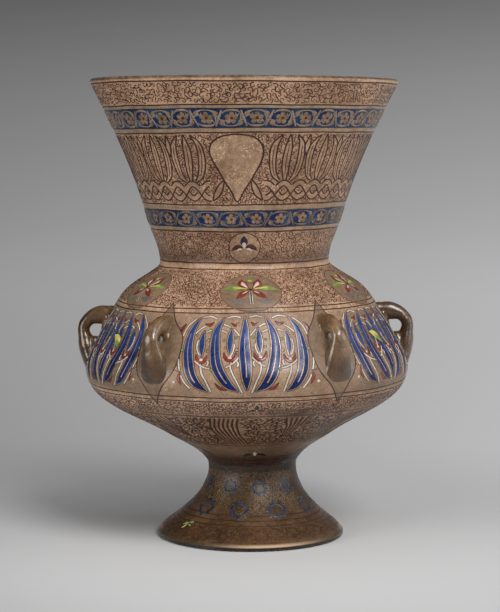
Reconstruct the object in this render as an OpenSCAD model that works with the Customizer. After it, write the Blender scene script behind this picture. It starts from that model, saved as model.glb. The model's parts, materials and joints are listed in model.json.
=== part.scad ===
// Mosque lamp: a blown glass vessel on a blown foot, with loop handles for the
// hanging chains, and the oil cup with its floating wick that stands inside.
// Millimetres, +Z up, origin on the table at the centre of the foot.

/* [Vessel] */
// Height from the table to the top of the rim
total_h = 340; // [325:1:360]
// Outer diameter at the rim
rim_d = 227; // [215:1:240]
// Outer diameter at the throat, the narrowest place of the neck
throat_d = 125.6; // [115:0.2:132]
// Height of the throat
throat_z = 206; // [203:1:211]
// Outer diameter at the belly, the widest place of the bowl
belly_d = 240.2; // [234:0.2:248]
// Height of the belly
belly_z = 127; // [123:1:131]
// Outer diameter low on the shoulder, as a share of the belly's
shoulder_share = 0.915; // [0.89:0.005:0.935]
// Height of the low shoulder
shoulder_z = 152; // [148:0.5:156]
// Outer diameter at the knee, where the bowl turns under, as a share of the belly's
knee_share = 0.884; // [0.86:0.004:0.9]
// Height of the knee
knee_z = 104; // [100:0.5:107]
// Thickness of the vessel wall
wall = 4; // [3:0.1:5]
// Thickness of the vessel floor at the centre
floor_t = 8; // [6:0.5:10]

/* [Foot] */
// Diameter of the foot at the table
foot_d = 140.6; // [130:0.2:152]
// Outer diameter of the waist between foot and bowl
waist_d = 65.6; // [62:0.2:72]
// Height of the waist
waist_z = 50.5; // [47:0.5:53]
// Height of the fused seam between foot and bowl
seam_z = 56; // [55:0.5:58]
// Thickness of the foot wall
foot_wall = 4; // [3:0.1:5]
// Radius of the rounded foot edge
foot_edge_r = 2.2; // [1.6:0.1:2.6]
// Width of the flat ring that rests on the table
rest_ring_w = 4.5; // [3:0.1:6]
// Thickness of the foot's closed top under the seam
foot_top_t = 6; // [4:0.5:8]

/* [Handles] */
// Radius of the eye that takes a chain hook
eye_r = 4.2; // [3.5:0.1:4.6]
// Height of the eye
eye_z = 156; // [153.5:0.5:158]
// Length of the straight wall of the eye
eye_land = 5; // [3:0.5:7]
// Gap between the eye's wall and the bowl
eye_gap = 0.2; // [0.1:0.05:0.6]
// Width of the eye's opening towards the bowl
eye_throat_w = 4.8; // [4:0.1:5.2]
// How far a handle stands out from the bowl at its eye
handle_reach = 18.8; // [17.5:0.1:20]
// Radius of the loop's upper bend, seen along the eye
loop_r = 18; // [17:0.1:18.5]
// Height of that bend's centre
loop_z = 156; // [154.5:0.5:156.5]
// Radius of the lower bend, over the pad
pad_bend_r = 17; // [16:0.1:17.8]
// Height of that bend's centre
pad_bend_z = 141.5; // [139:0.5:143]
// Width of the pressed pad at the lower end of a handle
pad_w = 17; // [15:0.1:19]
// Radius of the pad's two lower corners
pad_corner_r = 5.5; // [4:0.1:6.5]
// Height of the pad's lower edge
pad_low_z = 126.5; // [125.5:0.5:128]
// Width of a handle at its upper root
root_w = 10; // [8.5:0.1:12]
// Height of the upper root's centre
root_z = 169; // [167.5:0.5:170.5]
// Angle of a front or back handle from the lamp's middle plane
side_turn = 33; // [28:0.5:34]

/* [Oil cup] */
// Height of the oil cup
cup_h = 78; // [60:1:90]
// Outer diameter of the cup at its lip
cup_top_d = 60; // [52:1:70]
// Outer diameter of the cup at its foot
cup_foot_d = 40; // [36:1:50]
// Thickness of the cup wall
cup_wall = 2.5; // [2:0.1:3.5]
// Thickness of the cup floor
cup_floor_t = 5; // [4:0.5:7]

/* [Wick float] */
// Thickness of the cork float
float_t = 8; // [6:0.5:10]
// Gap between the float and the cup wall
float_gap = 1.5; // [1:0.1:3]
// Inner radius of the wick tube
tube_r = 2.2; // [1.8:0.1:2.6]
// Wall of the wick tube
tube_wall = 0.8; // [0.5:0.1:1.2]
// Length of the wick tube above the float
tube_rise = 14; // [10:0.5:18]
// Width of the tube's flange, where it sits on the float
flange_w = 3; // [2:0.1:4]
// Thickness of that flange
flange_t = 1; // [0.8:0.1:1.5]
// Length of wick that shows above its tube
wick_rise = 6; // [3:0.5:10]
// Clearance between pieces that slide in each other
slide_gap = 0.2; // [0.1:0.05:0.4]

/* [Hidden] */
$fn = 96;

glass = "rosybrown";
cup_glass = "lightgray";
cork = "burlywood";
metal = "peru";
cotton = "ivory";

// Turns of the loop handles around the bowl, one for each handle name in NODES
handle_turns = [0, 90 - side_turn, 90 + side_turn, 180, 270 - side_turn, 270 + side_turn];

// How far a cutter runs past what it cuts
over = 2;
// Steps along each smooth stretch of an outline, and degrees for each step of an arc
curve_steps = 10;
arc_step = 10;
// Reach of a stretch's end handles, as a share of its straight length
handle_share = 0.36;

function direction(a) = [cos(a), sin(a)];
function reversed(list) = [for (i = [len(list) - 1 : -1 : 0]) list[i]];
function last(list) = list[len(list) - 1];

// A station of an outline is a radius, a height and the angle of the outline
// there, where 0 runs outwards and 90 runs straight up
function station(p, angle) = [p[0], p[1], angle];
function between(p, q, share) = [for (k = [0, 1]) p[k] + share[k] * (q[k] - p[k])];
function blend(p, q, t) = let (
    reach = handle_share * norm([q[0] - p[0], q[1] - p[1]]),
    a = [p[0], p[1]],
    d = [q[0], q[1]],
    b = a + reach * direction(p[2]),
    c = d - reach * direction(q[2]),
    s = 1 - t
) s * s * s * a + 3 * s * s * t * b + 3 * s * t * t * c + t * t * t * d;

// The smooth outline through a list of stations
function outline(stations) = concat(
    [for (i = [0 : len(stations) - 2], k = [0 : curve_steps - 1])
        blend(stations[i], stations[i + 1], k / curve_steps)],
    [[last(stations)[0], last(stations)[1]]]
);

// The same outline moved inwards by a wall thickness
function inset(points, depth) = [for (i = [0 : len(points) - 1]) let (
    before = points[max(i - 1, 0)],
    after = points[min(i + 1, len(points) - 1)],
    along = (after - before) / norm(after - before)
) points[i] + depth * [-along[1], along[0]]];

// Points on an arc, both ends included
function arc(centre, r, from, to) = let (steps = ceil(abs(to - from) / arc_step))
    [for (k = [0 : steps]) centre + r * direction(from + (to - from) * k / steps)];

// Radius of an outline at a height
function radius_at(points, z) = lookup(z, [for (p = points) [p[1], p[0]]]);

// The angle at which a straight tangent leaves two circles on the right-hand
// side, going from the first to the second
function tangent_angle(p, r_p, q, r_q) =
    atan2(q[1] - p[1], q[0] - p[0]) - acos((r_p - r_q) / norm(q - p));

// Outline angles at the stations, as the blown glass runs there
seam_angle = 59;
under_angle = 34.6;
knee_angle = 34.3;
shoulder_angle = 118.4;
brow_angle = 124.6;
collar_angle = 145.5;
neck_angle = 74;
rim_angle = 62.6;
edge_angle = 42;
flare_angle = 140;
stem_angle = 115;
stem_top_angle = 82;

// Stations between two others, as shares of the way across and up
under_share = [0.377, 0.452];
brow_share = [0.628, 0.457];
collar_share = [0.142, 0.131];
neck_share = [0.174, 0.235];
flare_share = [0.635, 0.294];
stem_share = [0.098, 0.742];
// The seam is wider than the waist by this much
seam_step = 0.4;
// The handle's lower bend stands back from the upper one by this much
bend_step = 0.5;
// How far the rounding of the nose runs back and out past the pad, and how far
// the blank reaches in
nose_depth = 9;
nose_ease = 0.5;
handle_depth = 60;
// How fast the eye widens towards its two mouths
eye_flare = 0.35;
// The side outline of a handle starts and ends at these angles, inside the bowl
pad_start = -100;
root_end = 190;

seam = [waist_d / 2 + seam_step, seam_z];
belly = [belly_d / 2, belly_z];
knee = [knee_share * belly[0], knee_z];
shoulder = [shoulder_share * belly[0], shoulder_z];
throat = [throat_d / 2, throat_z];
rim = [rim_d / 2, total_h - wall / 2 * (1 + cos(rim_angle))];

vessel_outer = outline([
    station(seam, seam_angle),
    station(between(seam, knee, under_share), under_angle),
    station(knee, knee_angle),
    station(belly, 90),
    station(shoulder, shoulder_angle),
    station(between(throat, shoulder, brow_share), brow_angle),
    station(between(throat, shoulder, collar_share), collar_angle),
    station(throat, 90),
    station(between(throat, rim, neck_share), neck_angle),
    station(rim, rim_angle)
]);
vessel_inner = inset(vessel_outer, wall);
floor_z = seam_z + floor_t;

// The rounded lip joins the outer wall to the inner one
lip_centre = (last(vessel_outer) + last(vessel_inner)) / 2;
lip = arc(lip_centre, wall / 2, rim_angle - 90 + arc_step, rim_angle + 90 - arc_step);

// Foot outline, from its rounded edge up to the seam
foot_edge_centre = [foot_d / 2 - foot_edge_r, foot_edge_r];
foot_base = [foot_d / 2, 0];
waist = [waist_d / 2, waist_z];
foot_outer = outline([
    station(foot_edge_centre + foot_edge_r * direction(edge_angle), edge_angle + 90),
    station(between(waist, foot_base, [flare_share[0], 1 - flare_share[1]]), flare_angle),
    station(between(waist, foot_base, [stem_share[0], 1 - stem_share[1]]), stem_angle),
    station(waist, 90),
    station(seam, stem_top_angle)
]);
foot_inner = inset(foot_outer, foot_wall);
// The hollow's wall starts here, above the thick folded edge
foot_fold_z = 3 * foot_edge_r;
foot_top_z = seam_z - foot_top_t;

// Handles: how the bowl leans at the eye, and the centres of eye, bends and root
bowl_r = radius_at(vessel_outer, eye_z);
bowl_lean = atan((bowl_r - radius_at(vessel_outer, eye_z + over)) / over);
eye = [bowl_r + (eye_r + eye_gap) / cos(bowl_lean), eye_z];
nose_x = bowl_r + handle_reach;
loop = [nose_x - loop_r, loop_z];
pad_bend = [nose_x - pad_bend_r - bend_step, pad_bend_z];
root_r = root_w / 2;
root = [radius_at(vessel_outer, root_z), root_z];

// Oil cup and wick
cup_z = floor_z;
cup_inside_z = cup_z + cup_floor_t;
cup_foot_r = cup_foot_d / 2;
cup_slope = (cup_top_d / 2 - cup_foot_r) / cup_h;
function cup_inner_r(z) = cup_foot_r + cup_slope * (z - cup_z) - cup_wall;
float_r = cup_inner_r(cup_inside_z) - float_gap;
float_top_z = cup_inside_z + float_t;
tube_outer_r = tube_r + tube_wall;
tube_top_z = float_top_z + tube_rise;
wick_r = tube_r - slide_gap;
wick_top_z = tube_top_z + wick_rise;

// The outside of the vessel as a full solid, between two heights
module vessel_mass(z_low, z_high) {
    band = [for (p = vessel_outer) if (p[1] > z_low && p[1] < z_high) p];
    rotate_extrude() polygon(concat([[0, band[0][1]]], band, [[0, last(band)[1]]]));
}

module vessel() {
    inside = [for (p = reversed(vessel_inner)) if (p[1] > floor_z + wall / 2) p];
    color(glass) rotate_extrude() polygon(concat(
        [[0, seam_z]], vessel_outer, lip, inside,
        [[radius_at(vessel_inner, floor_z), floor_z], [0, floor_z]]
    ));
}

module foot() {
    hollow = [for (p = reversed(foot_inner)) if (p[1] > foot_fold_z && p[1] < foot_top_z) p];
    edge = arc(foot_edge_centre, foot_edge_r, -90, edge_angle - arc_step);
    color(glass) rotate_extrude() polygon(concat(
        edge, foot_outer, [[0, seam_z], [0, foot_top_z]],
        [[radius_at(foot_inner, foot_top_z), foot_top_z]], hollow,
        [[foot_edge_centre[0] - rest_ring_w, 0]]
    ));
}

// The handle seen along its eye: a line drawn tight round both bends and the root
module handle_side() {
    loop_from = tangent_angle(pad_bend, pad_bend_r, loop, loop_r);
    root_from = tangent_angle(loop, loop_r, root, root_r);
    polygon(concat(
        arc(pad_bend, pad_bend_r, pad_start, loop_from),
        arc(loop, loop_r, loop_from, root_from),
        arc(root, root_r, root_from, root_end)
    ));
}

// The handle seen from in front of it: a broad pad that narrows to the root
module handle_front() {
    low = [pad_w / 2 - pad_corner_r, pad_low_z + pad_corner_r];
    high = [0, root_z];
    side = tangent_angle(low, pad_corner_r, high, root_r);
    polygon(concat(
        arc(low, pad_corner_r, -90, side),
        arc(high, root_r, side, 180 - side),
        arc([-low[0], low[1]], pad_corner_r, 180 - side, 270)
    ));
}

// The handle seen from above: straight sides and a round nose
module handle_plan() {
    half = pad_w / 2 + nose_ease;
    back = nose_x - handle_depth;
    nose = [for (a = [-90 : arc_step : 90]) [nose_x - nose_depth * (1 - cos(a)), half * sin(a)]];
    polygon(concat([[back, -half]], nose, [[back, half]]));
}

// What is cut out for the eye: a straight wall that flares at both ends, open
// towards the bowl, which closes the loop there
module eye_cutter() {
    out = pad_w / 2 + over;
    flare_r = eye_r + eye_flare * (out - eye_land / 2);
    translate([eye[0], 0, eye_z]) rotate([90, 0, 0]) {
        rotate_extrude() polygon([
            [0, -out], [flare_r, -out], [eye_r, -eye_land / 2],
            [eye_r, eye_land / 2], [flare_r, out], [0, out]
        ]);
        rotate([0, 0, bowl_lean]) translate([-eye_r - over, -eye_throat_w / 2, -out])
            cube([eye_r + over, eye_throat_w, 2 * out]);
    }
}

// One loop handle, in the plane of +X: a pad pressed on the bowl, drawn up
// round the eye and laid back on the shoulder
module handle() {
    low = pad_low_z - pad_corner_r;
    high = root_z + 2 * root_r;
    color(glass) difference() {
        intersection() {
            rotate([90, 0, 0]) linear_extrude(2 * pad_w, center = true) handle_side();
            rotate([90, 0, 90]) linear_extrude(nose_x + over) handle_front();
            translate([0, 0, low]) linear_extrude(high - low) handle_plan();
        }
        eye_cutter();
        vessel_mass(low, high);
    }
}

module handle_at(i) {
    rotate([0, 0, handle_turns[i]]) handle();
}

module oil_cup() {
    lip_r = cup_wall / 2;
    top_z = cup_z + cup_h - lip_r;
    color(cup_glass) rotate_extrude() polygon(concat(
        [[0, cup_z], [cup_foot_r, cup_z]],
        arc([cup_inner_r(top_z) + lip_r, top_z], lip_r, 0, 180),
        [[cup_inner_r(cup_inside_z), cup_inside_z], [0, cup_inside_z]]
    ));
}

module wick_float() {
    color(cork) difference() {
        translate([0, 0, cup_inside_z]) cylinder(r = float_r, h = float_t);
        translate([0, 0, cup_inside_z - over])
            cylinder(r = tube_outer_r + slide_gap, h = float_t + 2 * over);
    }
}

module wick_tube() {
    tube_h = tube_top_z - cup_inside_z;
    color(metal) difference() {
        union() {
            translate([0, 0, cup_inside_z]) cylinder(r = tube_outer_r, h = tube_h);
            translate([0, 0, float_top_z]) cylinder(r = tube_outer_r + flange_w, h = flange_t);
        }
        translate([0, 0, cup_inside_z - over]) cylinder(r = tube_r, h = tube_h + 2 * over);
    }
}

module wick() {
    color(cotton) translate([0, 0, cup_inside_z]) cylinder(r = wick_r, h = wick_top_z - cup_inside_z);
}

vessel();
foot();
for (i = [1 : len(handle_turns)]) {
    handle_at(i - 1);
}
oil_cup();
wick_float();
wick_tube();
wick();
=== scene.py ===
# %% [markdown]
# # A gilded and enamelled mosque lamp
# The lamp is a vessel of blown glass on a blown foot. Six glass handles with round
# eyes ring the bowl, and bands of gilding and enamel cover the outside. The packed
# CAD model gives every place and size, so it is loaded first and never moved.

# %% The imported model
import json
import math

import bpy
import numpy as np
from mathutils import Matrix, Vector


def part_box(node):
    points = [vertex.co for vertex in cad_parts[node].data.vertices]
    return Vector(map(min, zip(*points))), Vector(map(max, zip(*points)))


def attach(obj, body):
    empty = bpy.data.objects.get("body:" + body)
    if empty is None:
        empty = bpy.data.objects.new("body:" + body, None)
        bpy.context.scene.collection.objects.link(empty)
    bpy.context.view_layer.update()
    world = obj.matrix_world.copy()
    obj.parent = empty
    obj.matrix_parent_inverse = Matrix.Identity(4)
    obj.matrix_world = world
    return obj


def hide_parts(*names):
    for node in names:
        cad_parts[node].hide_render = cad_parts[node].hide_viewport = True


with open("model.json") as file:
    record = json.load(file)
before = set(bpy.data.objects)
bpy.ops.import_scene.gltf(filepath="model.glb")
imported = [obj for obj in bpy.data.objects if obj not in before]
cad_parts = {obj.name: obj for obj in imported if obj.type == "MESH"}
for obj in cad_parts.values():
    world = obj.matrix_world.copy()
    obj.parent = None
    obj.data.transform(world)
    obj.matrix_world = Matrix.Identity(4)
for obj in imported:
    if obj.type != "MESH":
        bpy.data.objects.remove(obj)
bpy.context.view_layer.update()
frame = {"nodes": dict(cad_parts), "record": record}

MM = 0.001
print("nodes:", sorted(frame["nodes"]))

# %% [markdown]
# ## Camera
# The picture was taken from a little above the rim, about 1.4 m in front of the
# lamp, with a long lens. A long lens keeps the upright sides straight, so no
# shift is needed: the camera only looks down by five degrees.

# %% Camera
PHOTO = (500, 612)
FOCUS_PX = 1899.2
bpy.ops.object.camera_add(location=(0.0022, -1.415, 0.299), rotation=(math.radians(84.86), 0, 0))
camera = bpy.context.object
camera.data.sensor_width = 36
camera.data.lens = FOCUS_PX * camera.data.sensor_width / max(PHOTO)
camera.data.clip_start = 0.01
bpy.context.scene.camera = camera
bpy.context.scene.view_settings.view_transform = "Standard"
print("lens", round(camera.data.lens, 1), "mm")

# %% [markdown]
# ## Turning
# Most of this lamp is round, as blown glass is. A turned shape could be a
# primitive pulled into form, but drawing half its outline and spinning that once
# round the axis gives the exact curve. The same tool makes the vessel, the foot,
# the oil cup and the studio sweep.

# %% The turning tool
def work_on(*objs):
    """Leaves only these objects selected, the first of them active."""
    bpy.ops.object.select_all(action="DESELECT")
    for obj in objs:
        obj.select_set(True)
    bpy.context.view_layer.objects.active = objs[0]


def poly_curve(name, splines, radii=None):
    """A curve object of straight splines, each a list of (x, y, z)."""
    curve = bpy.data.curves.new(name, "CURVE")
    curve.dimensions = "3D"
    for k, points in enumerate(splines):
        spline = curve.splines.new("POLY")
        spline.points.add(len(points) - 1)
        spline.points.foreach_set("co", np.column_stack([points, np.ones(len(points))]).ravel())
        if radii is not None:
            spline.points.foreach_set("radius", radii[k])
    obj = bpy.data.objects.new(name, curve)
    bpy.context.scene.collection.objects.link(obj)
    return obj


def tidy_mesh(obj, sharp=35):
    """Closes seams and poles, points the faces outwards and smooths the shading."""
    work_on(obj)
    bpy.ops.object.mode_set(mode="EDIT")
    bpy.ops.mesh.select_all(action="SELECT")
    bpy.ops.mesh.remove_doubles(threshold=1e-6)
    bpy.ops.mesh.normals_make_consistent(inside=False)
    bpy.ops.object.mode_set(mode="OBJECT")
    bpy.ops.object.shade_smooth_by_angle(angle=math.radians(sharp))


def turned(name, outline, steps):
    """A piece spun round Z from its outline of (radius, height) in mm."""
    outline = np.array(outline) * MM
    obj = poly_curve(name, [np.column_stack([outline[:, 0], 0 * outline[:, 0], outline[:, 1]])])
    work_on(obj)
    bpy.ops.object.convert(target="MESH")
    bpy.ops.object.mode_set(mode="EDIT")
    bpy.ops.mesh.select_all(action="SELECT")
    bpy.ops.mesh.spin(steps=steps, angle=2 * math.pi, center=(0, 0, 0), axis=(0, 0, 1))
    bpy.ops.object.mode_set(mode="OBJECT")
    tidy_mesh(obj)
    print(name, len(obj.data.polygons), "faces")
    return obj


# %% [markdown]
# ## Smooth lines
# The CAD outline is a chain of short straight steps, and later every enamel
# stroke starts from a few points too. One helper draws a smooth line through
# points, with a width as a third column where the line is a brush stroke.

# %% Smooth lines
def smooth_line(points, step, closed=False):
    """A smooth line through points, with a point about every step."""
    p = np.array(points, float)
    if closed:
        p = np.vstack([p[-3:], p, p[:4]])
    knots = np.concatenate([[0], np.cumsum(np.linalg.norm(np.diff(p[:, :2], axis=0), axis=1))])
    slope = np.gradient(p, knots, axis=0)
    first, last = (knots[3], knots[-4]) if closed else (0, knots[-1])
    t = np.linspace(first, last, max(2, round((last - first) / step) + 1))
    i = np.clip(np.searchsorted(knots, t, "right") - 1, 0, len(p) - 2)
    h = (knots[i + 1] - knots[i])[:, None]
    u = ((t - knots[i]) / h[:, 0])[:, None]
    return ((1 + 2 * u) * (1 - u) ** 2 * p[i] + u * (1 - u) ** 2 * h * slope[i]
            + u ** 2 * (3 - 2 * u) * p[i + 1] + u ** 2 * (u - 1) * h * slope[i + 1])


print("points on a line through three:", len(smooth_line([(0, 0), (10, 5), (20, 0)], 2)))

# %% [markdown]
# ## The lamp's outline
# The vessel and the foot are carried over from the CAD nodes: their rings are
# read off the node meshes, so the turned pieces land exactly where the solids
# are. The same outline, measured along its length, is the paper on which the
# enamel is drawn later.

# %% The outline, measured
def rings(node, side):
    """(radius, height) in mm of a turned node's rings, outside (1) or inside (-1), going up."""
    mesh = frame["nodes"][node].data
    found = {}
    for face in mesh.polygons:
        x, y, _ = face.center
        if side * (face.normal.x * x + face.normal.y * y) > 0.05 * math.hypot(x, y):
            for k in face.vertices:
                co = mesh.vertices[k].co
                found.setdefault(round(co.z / MM, 2), []).append(math.hypot(co.x, co.y) / MM)
    return [(max(radii), z) for z, radii in sorted(found.items())]


OUTLINE_STEP = 2.4
foot_out, foot_in = rings("foot", 1), rings("foot", -1)
vessel_out, vessel_in = rings("vessel", 1), rings("vessel", -1)
seam_z = vessel_out[0][1]
lip_from = 0.8 * vessel_out[-1][1]
rim_at = max((k for k, (_, z) in enumerate(vessel_out) if z > lip_from), key=lambda k: vessel_out[k][0])
foot_line = smooth_line(foot_out, OUTLINE_STEP)
bowl_line = smooth_line(vessel_out[: rim_at + 1], OUTLINE_STEP)
OUTLINE = np.vstack([foot_line[:-1], bowl_line])
RUN = np.concatenate([[0], np.cumsum(np.linalg.norm(np.diff(OUTLINE, axis=0), axis=1))])
FACING = np.gradient(OUTLINE, RUN, axis=0)[:, ::-1] * (1, -1)
FACING /= np.linalg.norm(FACING, axis=1)[:, None]
print("outline", len(OUTLINE), "points,", round(RUN[-1], 1), "mm long; seam at", seam_z)

# %% [markdown]
# ## Vessel and foot
# Each is one closed outline, up the outside and down the inside, spun round.

# %% Vessel and foot
ROUND = 192
floor_z = vessel_in[0][1]
vessel = turned("vessel_glass", np.vstack([
    [(0, seam_z)], bowl_line, vessel_out[rim_at + 1:], vessel_in[::-1], [(0, floor_z)]]), ROUND)
foot_top = foot_in[-1][1]
foot = turned("foot_glass", np.vstack([
    foot_line, [(0, seam_z), (0, foot_top)], foot_in[::-1], foot_line[:1]]), ROUND)
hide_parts("vessel")
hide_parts("foot")

# %% [markdown]
# ## Handles
# Each handle is a gather of hot glass: pressed on the bowl as a pad, drawn up
# round a rod and laid back on the shoulder. A bent cylinder would look like a
# pipe, so three rods are drawn as curves with a round bevel, thick and thin where
# the glass was: the loop, the pad and a web along the bowl.

# %% Handle tools
def read_mesh(obj):
    co = np.zeros(len(obj.data.vertices) * 3)
    obj.data.vertices.foreach_get("co", co)
    return co.reshape(-1, 3)


def write_mesh(obj, co):
    obj.data.vertices.foreach_set("co", co.ravel())
    obj.data.update()


def apply_modifier(obj, kind, **values):
    modifier = obj.modifiers.new(kind.lower(), kind)
    for key, value in values.items():
        setattr(modifier, key, value)
    work_on(obj)
    bpy.ops.object.modifier_apply(modifier=modifier.name)


ROD_SIDES = 28
turn = np.linspace(0, 2 * math.pi, ROD_SIDES + 1)[:-1]
rod = poly_curve("rod_profile", [np.column_stack([np.cos(turn), np.sin(turn), 0 * turn])])
rod.data.dimensions = "2D"
rod.data.splines[0].use_cyclic_u = True


def drawn_rod(name, path):
    """A rod of hot glass along points of radius, height, half thickness and half width."""
    line = smooth_line(path, 0.8)
    line[[0, -1], 2:] = 0
    obj = poly_curve(name, [np.column_stack([line[:, :2], 0 * line[:, 0]])], [line[:, 2]])
    obj.data.twist_mode = "Z_UP"
    obj.data.bevel_mode = "OBJECT"
    obj.data.bevel_object = rod
    work_on(obj)
    bpy.ops.object.convert(target="MESH")
    x, y, z = read_mesh(obj).T
    wide = np.repeat(line[:, 3] / np.maximum(line[:, 2], 0.01), ROD_SIDES)
    write_mesh(obj, np.column_stack([x, -z * wide, y]) * MM)
    tidy_mesh(obj)
    return obj


print("a rod has", ROD_SIDES, "sides")

# %% Handle rods
loop = drawn_rod("handle_glass_1", [
    (114.6, 124.4, 0, 0), (114.9, 125.4, 2.8, 7.6), (115.2, 127.2, 4.8, 10.8), (116.2, 132.0, 6.0, 11.8),
    (117.8, 139.0, 6.4, 10.2), (119.2, 145.5, 6.3, 8.8), (120.2, 150.5, 5.5, 7.4), (121.1, 155.0, 4.6, 6.4),
    (120.6, 158.6, 4.4, 5.8), (119.0, 161.6, 4.5, 5.4), (116.8, 163.9, 4.9, 5.2), (113.9, 165.6, 5.7, 5.0),
    (110.4, 166.6, 6.4, 5.0), (106.0, 167.2, 6.4, 5.0), (101.0, 168.0, 5.5, 4.8),
    (96.6, 169.4, 4.2, 4.2), (93.0, 171.0, 0, 0)])
pad = drawn_rod("handle_pad", [
    (111.5, 126.8, 0, 0), (111.8, 127.6, 4.8, 10.6), (112.6, 131.0, 6.4, 11.8), (113.4, 138.0, 6.8, 10.8),
    (113.4, 144.0, 6.4, 8.2), (113.0, 147.4, 5.8, 7.2), (112.8, 149.6, 4.6, 6.0),
    (112.7, 150.9, 3.2, 4.8), (112.7, 151.6, 0, 0)])
web = drawn_rod("handle_web", [
    (109.5, 140.0, 0, 0), (109.0, 143.0, 3.0, 6.0), (106.4, 150.0, 2.4, 6.0), (105.4, 156.0, 2.6, 5.6),
    (103.6, 162.0, 2.8, 5.2), (102.0, 167.0, 2.0, 4.6), (101.6, 169.0, 0, 0)])
print("rods of", [len(obj.data.polygons) for obj in (loop, pad, web)], "faces")

# %% [markdown]
# ## One handle, six places
# A voxel remesh fuses the rods, a cloud texture dents them and a smooth melts the
# edges. What lies deeper in the wall than a small bite is pulled out to it. One
# handle is modelled and turned into its six places, each with a mesh of its own.

# %% Handles
work_on(loop, pad, web)
bpy.ops.object.join()
handle = loop
apply_modifier(handle, "REMESH", mode="VOXEL", voxel_size=0.6 * MM)
melt = bpy.data.textures.new("melt", "CLOUDS")
melt.noise_scale = 11 * MM
apply_modifier(handle, "DISPLACE", texture=melt, texture_coords="LOCAL", strength=1.3 * MM, mid_level=0.5)
apply_modifier(handle, "SMOOTH", factor=0.5, iterations=8)
bpy.ops.object.shade_smooth()
BITE = 1.2
co = read_mesh(handle)
reach = np.hypot(co[:, 0], co[:, 1])
wall = np.interp(co[:, 2] / MM, OUTLINE[:, 1], OUTLINE[:, 0]) - BITE
co[:, :2] *= (np.maximum(reach, wall * MM) / reach)[:, None]
write_mesh(handle, co)

eyes = [mount["pos_m"] for mount in frame["record"]["mounts"] if mount["kind"] == "bore"]
eye_turns = [math.atan2(y, x) for x, y, _ in eyes]
handles = [handle]
for k, eye_turn in enumerate(eye_turns[1:], 2):
    copy = bpy.data.objects.new(f"handle_glass_{k}", handle.data.copy())
    bpy.context.scene.collection.objects.link(copy)
    copy.rotation_euler.z = eye_turn
    work_on(copy)
    bpy.ops.object.transform_apply(location=False, rotation=True, scale=False)
    handles.append(copy)
for k, piece in enumerate(handles):
    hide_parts(f"handle_{k + 1}")
print(len(handles), "handles of", len(handle.data.polygons), "faces at",
      [round(math.degrees(a)) for a in eye_turns])

# %% [markdown]
# ## Strokes
# Enamel is ground glass laid on with a brush or a reed pen and fired on. A
# stroke is drawn flat, in mm, as a curve whose radius is the brush's pressure
# and whose bevel is a low ridge. Once it is a mesh, every vertex is wrapped on
# the outline: x goes round the lamp, y runs along the glass and z stands proud.

# %% Ridge profiles
def ridge(name, heights):
    """A bevel profile, as wide as the stroke, with these heights across it."""
    across = np.linspace(-1, 1, len(heights))
    obj = poly_curve(name, [np.column_stack([across, heights, 0 * across])])
    obj.data.dimensions = "2D"
    return obj


PEN = ridge("pen_ridge", [0, 1, 0])
BRUSH = ridge("brush_ridge", [0, 0.75, 1, 0.75, 0])
SHEET = ridge("sheet_ridge", [0, 0.8] + [1] * 9 + [0.8, 0])
print("ridges:", [(obj.name, len(obj.data.splines[0].points)) for obj in (PEN, BRUSH, SHEET)])

# %% [markdown]
# ## Laying enamel
# The hand that drew the bands was never quite steady, so slow drifts are added on
# the way to the glass. Each stroke also takes one of the swatches of the bake map.

# %% Laying enamel
SWATCHES = 24
THINNEST, HIGHEST = 0.03, 0.45


def on_glass(angle, along, lift):
    """Points in metres at an angle round the lamp, a way along the outline and a lift."""
    r = np.interp(along, RUN, OUTLINE[:, 0]) + lift * np.interp(along, RUN, FACING[:, 0])
    z = np.interp(along, RUN, OUTLINE[:, 1]) + lift * np.interp(along, RUN, FACING[:, 1])
    return np.column_stack([r * np.cos(angle), r * np.sin(angle), z]) * MM


def along_at(z):
    """How far along the outline a height is."""
    return float(np.interp(z, OUTLINE[:, 1], RUN))


def radius_at(along):
    return float(np.interp(along, RUN, OUTLINE[:, 0]))


def unsteady(angle, along):
    """What a hand adds to an even pattern: slow drifts, in mm across and along."""
    across = 0.32 * np.sin(5 * angle + 0.11 * along) + 0.22 * np.sin(17 * angle - 0.21 * along)
    up = 0.22 * np.sin(3 * angle + 0.05 * along + 1) + 0.14 * np.sin(13 * angle + 0.4)
    return across, up


def enamel(name, strokes, profile, r_ref, low, level, relief):
    """Strokes of (x, y, half width) laid on the glass, y from the run low, as one mesh."""
    strokes = [np.maximum(s, (-np.inf, -np.inf, THINNEST)) for s in strokes]
    flat = [np.column_stack([s[:, :2], 0 * s[:, 0]]) for s in strokes]
    obj = poly_curve(name, flat, [s[:, 2] for s in strokes])
    obj.data.twist_mode = "Z_UP"
    obj.data.bevel_mode = "OBJECT"
    obj.data.bevel_object = profile
    work_on(obj)
    bpy.ops.object.convert(target="MESH")
    swatch = obj.data.uv_layers[0]
    swatch.name = "OFBake"
    columns = len(profile.data.splines[0].points)
    start = np.concatenate([np.full(len(s) * columns, k) for k, s in enumerate(strokes)])
    part = np.concatenate([np.repeat(np.linspace(0.05, 0.95, len(s)), columns) for s in strokes])
    side = np.tile(np.linspace(0.02, 0.98, columns), sum(map(len, strokes)))
    corner = np.zeros(len(obj.data.loops), int)
    obj.data.loops.foreach_get("vertex_index", corner)
    uv = np.column_stack([(start % SWATCHES + part) / SWATCHES, side])[corner]
    swatch.data.foreach_set("uv", uv.ravel())
    x, y, z = read_mesh(obj).T
    across, up = unsteady(x / r_ref, low + y)
    lift = level + np.minimum(relief * z, HIGHEST)
    write_mesh(obj, on_glass((x + across) / r_ref - math.pi / 2, low + y + up, lift))
    bpy.ops.object.shade_smooth()
    print(name, len(strokes), "strokes,", 2 * len(obj.data.polygons), "triangles")
    return obj


# %% [markdown]
# ## Drawing helpers
# Leaves, rings and dots come back in every band, so each is a small helper.

# %% Drawing helpers
FINE = 1.1


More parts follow.
